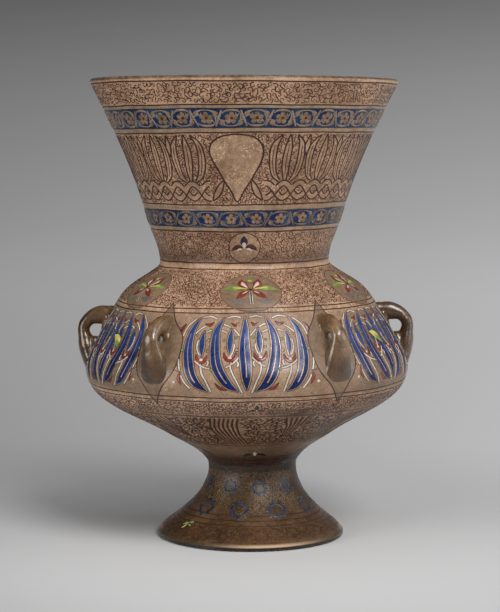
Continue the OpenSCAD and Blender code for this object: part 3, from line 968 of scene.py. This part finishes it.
# %% Oil cup
CUP_STEPS, FLOAT_STEPS, TUBE_STEPS = 96, 72, 48
cup_out, cup_in = rings("oil_cup", 1), rings("oil_cup", -1)
(low_r, cup_low), (floor_r, cup_floor) = cup_out[0], cup_in[0]
top_at = max(range(len(cup_out)), key=lambda k: cup_out[k][0])
cup = turned("oil_cup_glass", np.vstack([
    [(0, cup_low), (low_r - 1.2, cup_low), (low_r - 0.2, cup_low + 1.0)], cup_out[top_at:], cup_in[:0:-1],
    [(floor_r + 0.1, cup_floor + 2.2), (floor_r - 2.0, cup_floor), (0, cup_floor)]]), CUP_STEPS)
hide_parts("oil_cup")

# %% Cork float and brass tube
(_, _, z0), (float_r, _, z1) = np.array(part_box("wick_float")) / MM
bore_r = rings("wick_float", -1)[0][0]
cork_float = turned("cork_float", [
    (bore_r, z0 + 0.4), (bore_r + 0.4, z0), (float_r - 0.9, z0), (float_r, z0 + 0.9), (float_r, z1 - 0.9),
    (float_r - 0.9, z1), (bore_r + 0.4, z1), (bore_r, z1 - 0.4), (bore_r, z0 + 0.4)], FLOAT_STEPS)
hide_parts("wick_float")
tube_out = rings("wick_tube", 1)
tube_in = rings("wick_tube", -1)[0][0]
(_, _, z0), (_, _, z2) = np.array(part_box("wick_tube")) / MM
tube_r, flange_r = tube_out[0][0], max(r for r, _ in tube_out)
brass_tube = turned("brass_tube", [
    (tube_in, z0), (tube_r, z0), (tube_r, z1), (flange_r - 0.3, z1), (flange_r, z1 + 0.3), (flange_r, z1 + 0.7),
    (flange_r - 0.3, z1 + 1.0), (tube_r + 0.5, z1 + 1.0), (tube_r, z1 + 1.5), (tube_r, z2 - 0.5),
    (tube_r - 0.2, z2 - 0.1), (tube_in + 0.2, z2), (tube_in, z2 - 0.3), (tube_in, z0)], TUBE_STEPS)
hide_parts("wick_tube")

# %% Wick
STRANDS = 3
TWIST, TAPER = 9, 2.5
(_, _, z0), (wick_r, _, z1) = np.array(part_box("wick")) / MM
heights = np.linspace(z0, z1, 60)
strands = []
for k in range(STRANDS):
    a = 2 * math.pi * (heights - z0) / TWIST + 2 * math.pi * k / STRANDS
    strands.append(np.column_stack([0.5 * wick_r * np.cos(a), 0.5 * wick_r * np.sin(a), heights]) * MM)
taper = np.where(heights > z1 - TAPER, 1 - 0.5 * (heights - z1 + TAPER) / TAPER, 1.0)
wick = poly_curve("cotton_wick", strands, [taper] * STRANDS)
wick.data.bevel_depth = wick_r * 0.49 * MM
wick.data.bevel_resolution = 2
wick.data.use_fill_caps = True
work_on(wick)
bpy.ops.object.convert(target="MESH")
tidy_mesh(wick, 60)
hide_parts("wick")
print("wick of", STRANDS, "strands, reach", round(float(np.abs(read_mesh(wick)[:, 0]).max() / MM), 2))

# %% [markdown]
# ## Finishes: node helpers
# Every finish is a small tree of nodes. Each helper adds one node to a tree and
# gives back its socket, so a finish reads like a sum.

# %% Node helpers
def linear(c):
    return c / 255 / 12.92 if c < 10.4 else ((c / 255 + 0.055) / 1.055) ** 2.4


def srgb(r, g, b):
    """A colour as it is seen, 0 to 255, made linear."""
    return linear(r), linear(g), linear(b), 1.0


def put(tree, kind, inputs=(), **settings):
    """A node with these settings, its inputs set to values or linked to sockets."""
    node = tree.nodes.new(kind)
    for key, value in settings.items():
        setattr(node, key, value)
    for key, value in dict(inputs).items():
        if isinstance(value, bpy.types.NodeSocket):
            tree.links.new(value, node.inputs[key])
        else:
            node.inputs[key].default_value = value
    return node


def blend(tree, factor, a, b, mode="MIX"):
    """The colour between a and b."""
    node = put(tree, "ShaderNodeMix", {0: factor, 6: a, 7: b}, data_type="RGBA", blend_type=mode)
    return node.outputs[2]


def spread(tree, value, low, high, to_low=0.0, to_high=1.0):
    """A value eased from one range to another and held there."""
    return put(tree, "ShaderNodeMapRange", {0: value, 1: low, 2: high, 3: to_low, 4: to_high},
               interpolation_type="SMOOTHSTEP").outputs[0]


def noise(tree, vector, scale, detail=3.0, rough=0.55):
    return put(tree, "ShaderNodeTexNoise", {"Vector": vector, "Scale": scale, "Detail": detail,
                                            "Roughness": rough}).outputs["Fac"]


def math_node(tree, operation, a, b=0.5):
    return put(tree, "ShaderNodeMath", {0: a, 1: b}, operation=operation).outputs[0]


def times(tree, a, b):
    return math_node(tree, "MULTIPLY", a, b)


def plus(tree, a, b):
    return math_node(tree, "ADD", a, b)


def axes_of(tree, place):
    return put(tree, "ShaderNodeSeparateXYZ", {0: place}).outputs


print("mid grey in linear light:", round(linear(128), 3))

# %% [markdown]
# ## Finishes: shared effects
# Old glass is never one colour. Three node groups serve every finish: uneven
# tone mixes two colours by a large and a small noise, gilding and glints gives a
# mask of gold left in patches, which also places the painted glints of the gold,
# and glass skin gives the height of fine waves and seeds for a bump.

# %% Shared groups
def new_group(name, inputs, outputs):
    """An empty shader group with float, colour or vector sockets."""
    group = bpy.data.node_groups.new(name, "ShaderNodeTree")
    kinds = {"f": "NodeSocketFloat", "c": "NodeSocketColor", "v": "NodeSocketVector"}
    for label, kind in inputs:
        group.interface.new_socket(label, in_out="INPUT", socket_type=kinds[kind])
    for label, kind in outputs:
        group.interface.new_socket(label, in_out="OUTPUT", socket_type=kinds[kind])
    return group, group.nodes.new("NodeGroupInput").outputs, group.nodes.new("NodeGroupOutput").inputs


uneven_tone, took, gives = new_group(
    "uneven_tone", [("Vector", "v"), ("Dark", "c"), ("Light", "c"), ("Scale", "f")], [("Color", "c")])
broad = noise(uneven_tone, took["Vector"], took["Scale"], 4.0, 0.6)
small = noise(uneven_tone, took["Vector"], times(uneven_tone, took["Scale"], 9.0), 2.0)
mixed = plus(uneven_tone, times(uneven_tone, broad, 0.65), times(uneven_tone, small, 0.35))
toned = blend(uneven_tone, spread(uneven_tone, mixed, 0.36, 0.64), took["Dark"], took["Light"])
uneven_tone.links.new(toned, gives["Color"])

gilding_and_glints, took, gives = new_group(
    "gilding_and_glints", [("Vector", "v"), ("Patch", "f"), ("Fleck", "f")], [("Gold", "f")])
patch = spread(gilding_and_glints, noise(gilding_and_glints, took["Vector"], took["Patch"], 4.0, 0.65), 0.42, 0.62)
fleck = spread(gilding_and_glints, noise(gilding_and_glints, took["Vector"], took["Fleck"], 2.0, 0.6), 0.52, 0.66)
gilding_and_glints.links.new(times(gilding_and_glints, patch, fleck), gives["Gold"])

glass_skin, took, gives = new_group(
    "glass_skin", [("Vector", "v"), ("Wave", "f"), ("Seed", "f")], [("Height", "f")])
wave = noise(glass_skin, took["Vector"], took["Wave"], 3.0, 0.5)
cells = put(glass_skin, "ShaderNodeTexVoronoi", {"Vector": took["Vector"], "Scale": took["Seed"]})
seeds = spread(glass_skin, cells.outputs["Distance"], 0.05, 0.16, 1.0, 0.0)
glass_skin.links.new(plus(glass_skin, wave, times(glass_skin, seeds, 0.25)), gives["Height"])
print("groups:", [g.name for g in bpy.data.node_groups])

# %% [markdown]
# ## Finishes: materials
# A material starts as a Principled shader with a few plain values. The rest is fed
# to it: two tones, a ramp that follows the height, a mask and a bump.

# %% Material helpers
def new_material(name, values):
    material = bpy.data.materials.new(name)
    material.use_nodes = True
    shader = material.node_tree.nodes["Principled BSDF"]
    for key, value in values.items():
        shader.inputs[key].default_value = value
    place = put(material.node_tree, "ShaderNodeTexCoord").outputs["Object"]
    return material, material.node_tree, shader, place


def feed(tree, shader, **sockets):
    for key, socket in sockets.items():
        tree.links.new(socket, shader.inputs[key.replace("_", " ")])


def two_tone(tree, place, scale, dark, light):
    return put(tree, "ShaderNodeGroup", {"Vector": place, "Scale": scale, "Dark": srgb(*dark),
                                         "Light": srgb(*light)}, node_tree=uneven_tone).outputs["Color"]


def bump(tree, shader, height, strength, distance):
    node = put(tree, "ShaderNodeBump", {"Height": height, "Strength": strength, "Distance": distance})
    tree.links.new(node.outputs["Normal"], shader.inputs["Normal"])


def skin(tree, shader, place, wave, seed, strength, distance):
    """The bump of fired glass."""
    node = put(tree, "ShaderNodeGroup", {"Vector": place, "Wave": wave, "Seed": seed}, node_tree=glass_skin)
    bump(tree, shader, node.outputs["Height"], strength, distance)


def zone(tree, value, rise, fall):
    """A mask that comes in over one stretch of a value and goes out over another."""
    return times(tree, spread(tree, value, *rise), spread(tree, value, *fall, 1.0, 0.0))


def ramp(tree, value, stops):
    """A grey level that follows a value through these stops of (place, level).

    A colour ramp keeps only 256 steps, so the stops are spread over all of it.
    """
    first, last = stops[0][0], stops[-1][0]
    part = put(tree, "ShaderNodeMapRange", {0: value, 1: first, 2: last}).outputs[0]
    node = put(tree, "ShaderNodeValToRGB", {"Fac": part})
    places = [(at - first) / (last - first) for at, _ in stops]
    for at in places[1:-1]:
        node.color_ramp.elements.new(at)
    for stop, at, (_, level) in zip(node.color_ramp.elements, places, stops):
        stop.position, stop.color = at, (level, level, level, 1)
    return node.outputs["Color"]


print("materials before the first finish:", len(bpy.data.materials))

# %% [markdown]
# ## Finishes: glass
# The blown glass is smoky brown and looks nearly opaque, since gilding covers its
# outside and dust its inside. Tone runs darker towards the foot, which is thicker.
# Glass stays glass, so the worn gold is a paler colour in flecks and not a metal,
# and that pale colour also paints the glints of the gold. All tones follow the
# height on the lamp, because the bands do, and so does the painted shade.

# %% Lamp glass: ground
lamp_glass, tree, shader, place = new_material(
    "lamp_glass", {"IOR": 1.5, "Coat Roughness": 0.18, "Specular IOR Level": 0.3})
axes = axes_of(tree, place)
height = axes["Z"]
upper = two_tone(tree, place, 30.0, (158, 122, 94), (212, 174, 142))
lower = two_tone(tree, place, 44.0, (58, 43, 27), (98, 74, 50))
# Where this ramp darkens a line under the foot's edge, the hollow waist and the underside of the bowl, it is
# painted shade. It also darkens a band at the foot of the neck and lightens the low foot and the rim band.
shade = ramp(tree, height, [
    (0, 0.2), (0.0028, 0.25), (0.005, 1.1), (0.02, 1.15), (0.026, 0.85), (0.042, 0.6), (0.049, 0.46),
    (0.056, 0.34), (0.061, 0.26), (0.067, 0.72), (0.09, 0.85), (0.106, 0.92), (0.116, 1), (0.2, 0.95),
    (0.2035, 1), (0.2066, 1.05), (0.2078, 0.46), (0.2125, 0.54), (0.22, 0.92), (0.316, 1), (0.32, 1.25),
    (0.336, 1.25)])
tone = blend(tree, 1.0, blend(tree, spread(tree, height, 0.05, 0.094), lower, upper), shade, "MULTIPLY")
bowl = zone(tree, height, (0.115, 0.121), (0.172, 0.178))
# Painted shade: the bowl's ground turns darker towards its left and right sides, where the glass turns away.
aside = spread(tree, math_node(tree, "ABSOLUTE", axes["X"]), 0.05, 0.088)
side_shade = times(tree, times(tree, bowl, aside), 0.62)
streaks = spread(tree, noise(tree, place, 11.0), 0.5, 0.6)
smear = times(tree, streaks, zone(tree, height, (0.1, 0.1045), (0.107, 0.113)))
smeared = blend(tree, times(tree, smear, 0.6), tone, srgb(70, 46, 32))
bowl_tone_and_side_shade = blend(tree, side_shade, srgb(150, 126, 104), srgb(96, 84, 72))
bowl_share = plus(tree, times(tree, bowl, 0.5), times(tree, side_shade, 0.4))
speck = ramp(tree, noise(tree, place, 900.0, 2.0, 0.7), [(0, 0.6), (0.4, 0.82), (0.56, 1.04), (1, 1.16)])
ground = blend(tree, 1.0, blend(tree, bowl_share, smeared, bowl_tone_and_side_shade), speck, "MULTIPLY")
print("ground of the lamp:", len(tree.nodes), "nodes")

# %% [markdown]
# ## Gilding and edges
# Over the ground come a painted highlight along the front of the foot's edge,
# the gold that is left in flecks, most of it on the neck, and painted shade along
# the top of the lip. The pale flecks also paint the glints of the gold.

# %% Lamp glass: gilding
# Painted highlight: a pale band on the foot's edge, brightest a little right of the front.
off_highlight = math_node(tree, "ABSOLUTE", math_node(tree, "SUBTRACT", axes["X"], 0.016))
foot_edge_highlight = ramp(tree, height, [(0, 0), (0.0026, 0), (0.0034, 0.8), (0.004, 0.7), (0.0054, 0)])
painted_highlight = times(tree, foot_edge_highlight, spread(tree, off_highlight, 0.004, 0.05, 1.0, 0.05))
highlighted = blend(tree, painted_highlight, ground, srgb(236, 200, 168))
# The flecks are worn gilding, and their pale colour also paints the glints of the gold.
gilt_glints = put(tree, "ShaderNodeGroup", {"Vector": place, "Patch": 70.0, "Fleck": 800.0}, node_tree=gilding_and_glints)
gilt_and_glint_left = ramp(tree, height, [
    (0, 0.02), (0.02, 0.05), (0.03, 0.32), (0.045, 0.32), (0.05, 0.05), (0.07, 0.15), (0.11, 1), (0.2, 0.8),
    (0.204, 0.15), (0.212, 0.15), (0.22, 0.9), (0.25, 1)])
gilt_and_glint_share = times(tree, spread(tree, bowl, 0.0, 1.0, 1.0, 0.3), gilt_and_glint_left)
with_gilt_glints = blend(tree, times(tree, gilt_glints.outputs["Gold"], gilt_and_glint_share), highlighted, srgb(246, 214, 176))
# Painted shade: the top of the lip is darker, in mottled tones.
lip_mottle = spread(tree, noise(tree, place, 240.0), 0.42, 0.58)
lip_shade = blend(tree, lip_mottle, srgb(52, 38, 30), srgb(104, 82, 66))
lip = spread(tree, height, 0.3376, 0.3386, 0.0, 0.85)
dull = spread(tree, noise(tree, place, 60.0), 0.3, 0.7, 0.28, 0.5)
feed(tree, shader, Base_Color=blend(tree, lip, with_gilt_glints, lip_shade),
     Roughness=times(tree, dull, spread(tree, height, 0.006, 0.02, 0.6, 1.0)),
     Coat_Weight=spread(tree, height, 0.012, 0.03, 0.25, 0.08))
skin(tree, shader, place, 90.0, 260.0, 0.12, 0.0006)
print(lamp_glass.name, len(tree.nodes), "nodes")

# %% [markdown]
# ## Handle glass
# The handles are of darker glass. The upper loops of the four handles towards
# the front and the back are painted paler: painted light on them.

# %% Handle glass
handle_glass, tree, shader, place = new_material(
    "handle_glass", {"IOR": 1.52, "Coat Weight": 0.9, "Coat Roughness": 0.24})
axes = axes_of(tree, place)
dark_tone = two_tone(tree, place, 90.0, (56, 34, 12), (99, 68, 32))
pale_tone = two_tone(tree, place, 90.0, (92, 65, 39), (142, 110, 77))
# Painted light: a paler tone on the upper loops of the front and back handles.
front_back = spread(tree, math_node(tree, "ABSOLUTE", axes["Y"]), 0.02, 0.06)
painted_light_mask = times(tree, spread(tree, axes["Z"], 0.138, 0.156), front_back)
feed(tree, shader, Base_Color=blend(tree, painted_light_mask, dark_tone, pale_tone),
     Roughness=spread(tree, noise(tree, place, 120.0), 0.3, 0.7, 0.22, 0.4))
skin(tree, shader, place, 160.0, 420.0, 0.25, 0.0009)
print(handle_glass.name, len(tree.nodes), "nodes")

# %% [markdown]
# ## Finishes: enamel
# Enamel pools: it is deep where the brush stopped and thin at the edges. Every
# colour is therefore a pair of tones, with a glossy skin and small pits.

# %% Enamels
def enamel_finish(name, dark, light, scale, rough=(0.24, 0.42), coat=0.2, metal=0.0):
    material, tree, shader, place = new_material(
        name, {"Coat Weight": coat, "Coat Roughness": 0.1, "Metallic": metal})
    feed(tree, shader, Base_Color=two_tone(tree, place, scale, dark, light),
         Roughness=spread(tree, noise(tree, place, 3 * scale), 0.3, 0.7, *rough))
    skin(tree, shader, place, 420.0, 700.0, 0.2, 0.0003)
    return material


DRY, WORN = (0.35, 0.55), (0.3, 0.5)
PEN_BROWN = enamel_finish("pen_brown", (64, 25, 15), (102, 48, 32), 60.0, DRY, 0.1)
PEN_DARK = enamel_finish("pen_dark", (46, 20, 13), (78, 36, 24), 60.0, DRY, 0.1)
PEN_TAN = enamel_finish("pen_tan", (72, 53, 33), (122, 92, 58), 60.0, DRY, 0.1)
PEN_FAINT = enamel_finish("pen_faint", (92, 58, 42), (130, 92, 70), 60.0, DRY, 0.1)
NAVY = enamel_finish("navy", (12, 18, 40), (26, 36, 62), 160.0)
COBALT_WORN = enamel_finish("cobalt_worn", (16, 27, 46), (52, 66, 88), 150.0, WORN, 0.15)
CREAM = enamel_finish("cream", (190, 174, 154), (230, 220, 204), 120.0)
VINE = enamel_finish("vine_grey", (128, 108, 90), (172, 150, 128), 140.0, WORN, 0.15)
# The lower band's vine is the same enamel, dimmer: painted shade under the neck's flare.
VINE_SHADED = enamel_finish("vine_shaded", (98, 80, 64), (138, 116, 94), 140.0, WORN, 0.15)
FLOWER = enamel_finish("flower_tan", (118, 96, 60), (180, 144, 112), 300.0, WORN, 0.15)
GOLD = enamel_finish("gold_edge", (160, 132, 106), (200, 172, 142), 120.0, WORN, 0.1, 0.3)
RED = enamel_finish("wax_red", (112, 32, 22), (150, 62, 44), 120.0)
RED_DARK = enamel_finish("dark_red", (60, 22, 18), (100, 38, 28), 160.0)
GREEN = enamel_finish("leaf_green", (96, 124, 54), (156, 172, 92), 200.0)
GREEN_BLACK = enamel_finish("green_black", (22, 26, 20), (48, 54, 40), 200.0)
YELLOW = enamel_finish("yellow", (196, 176, 70), (234, 222, 124), 200.0)
# Painted shade and reflection for the smudge low in each oval.
BLUE_SHADE = enamel_finish("blue_shade", (104, 96, 90), (130, 114, 102), 150.0, (0.4, 0.55), 0.1)
BARE = enamel_finish("bare_glass", (118, 95, 73), (152, 125, 99), 40.0, (0.3, 0.48), 0.2)
print(len(bpy.data.materials), "materials so far")

# %% [markdown]
# ## Cobalt
# The two large blues have four tones. On the bowl's leaves the blue pooled low and
# thins out upwards; in the scroll bands it is mottled.

# %% Cobalt
def cobalt_finish(name, dark, pale, rise=None):
    """Blue that thins out over a rise in height, or else in mottles."""
    material, tree, shader, place = new_material(
        name, {"Coat Weight": 0.1, "Coat Roughness": 0.1, "Specular IOR Level": 0.3})
    if rise:
        ease = spread(tree, axes_of(tree, place)["Z"], *rise)
    else:
        ease = spread(tree, noise(tree, place, 90.0, 4.0), 0.4, 0.66)
    pooled, pale_tone = two_tone(tree, place, 60.0, *dark), two_tone(tree, place, 60.0, *pale)
    feed(tree, shader, Base_Color=blend(tree, ease, pooled, pale_tone),
         Roughness=spread(tree, noise(tree, place, 180.0), 0.3, 0.7, 0.24, 0.42))
    skin(tree, shader, place, 420.0, 700.0, 0.2, 0.0003)
    return material


COBALT = cobalt_finish("cobalt", [(8, 22, 64), (24, 46, 108)], [(26, 54, 118), (58, 84, 142)], (0.124, 0.17))
COBALT_DEEP = cobalt_finish("cobalt_deep", [(10, 24, 66), (24, 46, 104)], [(22, 58, 96), (40, 84, 120)])
FINISHES = {
    PEN_BROWN: ["vermicelli_rim", "vermicelli_neck", "vermicelli_throat", "vermicelli_shoulder",
                "vermicelli_knee", "lines_low"],
    PEN_TAN: ["vermicelli_foot"],
    PEN_DARK: ["vermicelli_edge", "vermicelli_fans", "lines_foot", "reserves", "lines_neck", "lines_bowl",
               "neck_outlines", "medallion_rings", "bowl_pen", "fan_lines"],
    PEN_FAINT: ["oval_lines"],
    NAVY: ["upper_scroll_edges", "lower_scroll_edges", "upper_scroll_shade", "lower_scroll_shade",
           "bud_navy", "lotus_blue"],
    COBALT: ["bowl_cobalt"],
    COBALT_DEEP: ["upper_scroll_cobalt", "lower_scroll_cobalt"],
    COBALT_WORN: ["rings_high", "rings_low"],
    CREAM: ["bowl_cream", "bud_cream", "lotus_cream", "knee_cream", "waist_cream"],
    VINE: ["upper_scroll_vine"],
    VINE_SHADED: ["lower_scroll_vine"],
    FLOWER: ["upper_scroll_flowers", "lower_scroll_flowers"],
    GOLD: ["bowl_gold_edge", "bowl_veins", "gold_stripes"],
    RED: ["bowl_red", "lotus_red"],
    RED_DARK: ["bud_red", "knee_red", "upper_scroll_hearts", "lower_scroll_hearts"],
    GREEN: ["bowl_green", "lotus_green", "accent_green", "sprig_green"],
    GREEN_BLACK: ["knee_petals", "waist_petals", "waist_blots"],
    YELLOW: ["lotus_yellow", "accent_yellow", "sprig_yellow"],
    BLUE_SHADE: ["lotus_shade"],
    BARE: ["oval_grounds", "reserve_grounds"],
}
print(len(FINISHES), "finishes for", sum(map(len, FINISHES.values())), "pieces of enamel")

# %% [markdown]
# ## Finishes: cup, cork, brass, cotton
# These sit inside the lamp and show from above. The cup is clear, so it lets light
# through; cork, brass and cotton each get their own grain, scratches or fibres.

# %% Inside finishes
cup_glass, tree, shader, place = new_material(
    "cup_glass", {"IOR": 1.5, "Transmission Weight": 1.0, "Base Color": (0.93, 0.96, 0.93, 1)})
feed(tree, shader, Roughness=spread(tree, noise(tree, place, 200.0), 0.35, 0.7, 0.02, 0.12))
skin(tree, shader, place, 120.0, 300.0, 0.15, 0.0005)

cork, tree, shader, place = new_material("cork", {"IOR": 1.45})
feed(tree, shader, Base_Color=two_tone(tree, place, 420.0, (120, 82, 48), (196, 156, 108)),
     Roughness=spread(tree, noise(tree, place, 900.0), 0.3, 0.7, 0.75, 0.95))
bump(tree, shader, noise(tree, place, 700.0, 4.0), 0.5, 0.0006)

brass, tree, shader, place = new_material("tube_brass", {"Metallic": 1.0})
feed(tree, shader, Base_Color=two_tone(tree, place, 300.0, (132, 96, 52), (206, 166, 96)),
     Roughness=spread(tree, noise(tree, place, 500.0), 0.3, 0.7, 0.25, 0.5))
bump(tree, shader, noise(tree, place, 900.0), 0.15, 0.0003)

cotton, tree, shader, place = new_material("cotton", {"IOR": 1.4})
strand = put(tree, "ShaderNodeTexWave", {"Vector": place, "Scale": 900.0, "Distortion": 6.0, "Detail": 2.0},
             bands_direction="DIAGONAL").outputs["Fac"]
char = spread(tree, axes_of(tree, place)["Z"], (z1 - 4.0) * MM, (z1 - 0.5) * MM)
pale = blend(tree, strand, srgb(198, 186, 160), srgb(238, 230, 212))
feed(tree, shader, Base_Color=blend(tree, char, pale, srgb(38, 32, 28)),
     Roughness=spread(tree, strand, 0.0, 1.0, 0.8, 0.95))
bump(tree, shader, strand, 0.4, 0.0002)
print("inside:", [m.name for m in (cup_glass, cork, brass, cotton)])

# %% [markdown]
# ## A blown shape
# Nothing blown and tooled by hand is quite straight. The lamp's axis sways by a few
# millimetres and its middle leans a hair, so that the bands rise to the right.
# Every piece of the lamp takes the same gentle sway, so nothing comes apart.

# %% Sway
SWAY = smooth_line([(0, 2.4), (50, 4.0), (90, 1.6), (127, -0.2), (206, -2.0), (290, -1.8), (340, -2.2)], 2)
LEAN = [(0, 0.0), (22, 0.0), (75, 0.0105), (130, 0.013), (156, 0.0165), (176, 0.0135), (206, 0.0105),
        (285, 0.009), (305, 0.006), (325, 0.001), (342, -0.004)]


def sway(obj):
    co = read_mesh(obj)
    z = co[:, 2] / MM
    co[:, 2] += np.interp(z, *zip(*LEAN)) * co[:, 0]
    co[:, 0] += np.interp(z, SWAY[:, 0], SWAY[:, 1]) * MM
    write_mesh(obj, co)


def settle(obj, material, body):
    """Gives a piece its finish, sways it if it is part of the lamp, and hangs it under the body it rides."""
    obj.data.materials.clear()
    obj.data.materials.append(material)
    if body == "lamp":
        sway(obj)
    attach(obj, body)


settle(vessel, lamp_glass, "lamp")
settle(foot, lamp_glass, "lamp")
for piece in handles:
    settle(piece, handle_glass, "lamp")
for material, names in FINISHES.items():
    for name in names:
        settle(pieces.pop(name), material, "lamp")
settle(cup, cup_glass, "cup")
settle(cork_float, cork, "float")
settle(brass_tube, brass, "float")
settle(wick, cotton, "wick")
for profile in (PEN, BRUSH, SHEET, rod):
    bpy.data.objects.remove(profile)
bpy.data.textures.remove(melt)
print("left without a finish:", sorted(pieces))

# %% [markdown]
# ## Studio
# A pale sweep of paper: a floor that bends up into a wall far behind, turned
# round the lamp so that it is there from every side. The wall's glow paints the
# light falling off towards the top and the left. It glows for the camera and in
# reflections only, so it lights nothing. The floor near the lamp is paper that takes
# a shadow, painted paler in front and darker behind as a pool of light.

# %% Sweep
SWEEP_STEPS = 96
bend = smooth_line([(2200, 0), (2900, 90), (3500, 500), (3800, 1200)], 120)
sweep = turned("studio_sweep", np.vstack([[(0, 0), (600, 0)], bend, [(3900, 2200), (3900, 5000)]]), SWEEP_STEPS)
work_on(sweep)
bpy.ops.object.mode_set(mode="EDIT")
bpy.ops.mesh.select_all(action="SELECT")
bpy.ops.mesh.flip_normals()
bpy.ops.object.mode_set(mode="OBJECT")
paper, tree, shader, place = new_material("studio_paper", {"Roughness": 0.9, "Specular IOR Level": 0.1})
axes = axes_of(tree, place)
square = plus(tree, times(tree, axes["X"], axes["X"]), times(tree, axes["Y"], axes["Y"]))
reach = math_node(tree, "SQRT", square)
far = spread(tree, reach, 0.08, 0.5)
grain = spread(tree, noise(tree, place, 300.0), 0.3, 0.7, 0.985, 1.015)
# Painted pool of light: the floor is paler in front of the lamp than behind it.
floor_light_pool = blend(tree, spread(tree, axes["Y"], -0.32, 0.25), srgb(234, 234, 234), srgb(216, 216, 216))
wall_levels = [(0.0, 166), (0.1, 155), (0.26, 142), (0.45, 126), (0.66, 100), (1.0, 85)]
wall = ramp(tree, axes["Z"], [(at, linear(level)) for at, level in wall_levels])
slant = math_node(tree, "DIVIDE", axes["X"], plus(tree, times(tree, reach, 0.35), 0.2))
lit = times(tree, plus(tree, times(tree, slant, 0.36), 1.0), grain)
glow = times(tree, far, lit)
glow_grey = put(tree, "ShaderNodeCombineColor", {0: glow, 1: glow, 2: glow}).outputs[0]
ray = put(tree, "ShaderNodeLightPath").outputs
seen = math_node(tree, "MAXIMUM", ray["Is Camera Ray"], ray["Is Glossy Ray"])
seen = math_node(tree, "MAXIMUM", seen, ray["Is Transmission Ray"])
feed(tree, shader, Base_Color=blend(tree, far, floor_light_pool, (0.02, 0.02, 0.02, 1)),
     Emission_Color=blend(tree, 1.0, wall, glow_grey, "MULTIPLY"), Emission_Strength=seen)
sweep.data.materials.clear()
sweep.data.materials.append(paper)

# %% [markdown]
# ## Light
# A large softbox above the camera and to the right gives the soft streaks on the
# glass. Two weaker panels fill the sides, and a grey world lifts the shadows.

# %% Lights
def softbox(name, place, aim, size, power):
    bpy.ops.object.light_add(type="AREA", location=place)
    lamp = bpy.context.object
    lamp.name = name
    lamp.data.size = size
    lamp.data.energy = power
    x, y, z = np.array(aim) - np.array(place)
    lamp.rotation_euler = (math.atan2(math.hypot(x, y), -z), 0, math.atan2(x, -y) + math.pi)
    print(name, power, "W")


softbox("key_softbox", (0.75, -1.5, 1.55), (0, 0, 0.17), 0.9, 33.5)
softbox("left_panel", (-1.5, -1.0, 0.56), (0, 0, 0.22), 1.0, 15)
softbox("right_panel", (1.7, -0.3, 0.7), (0, 0, 0.17), 1.0, 7)
world = bpy.data.worlds.new("studio")
bpy.context.scene.world = world
world.use_nodes = True
world.node_tree.nodes["Background"].inputs["Color"].default_value = (0.5, 0.5, 0.51, 1)
world.node_tree.nodes["Background"].inputs["Strength"].default_value = 0.6
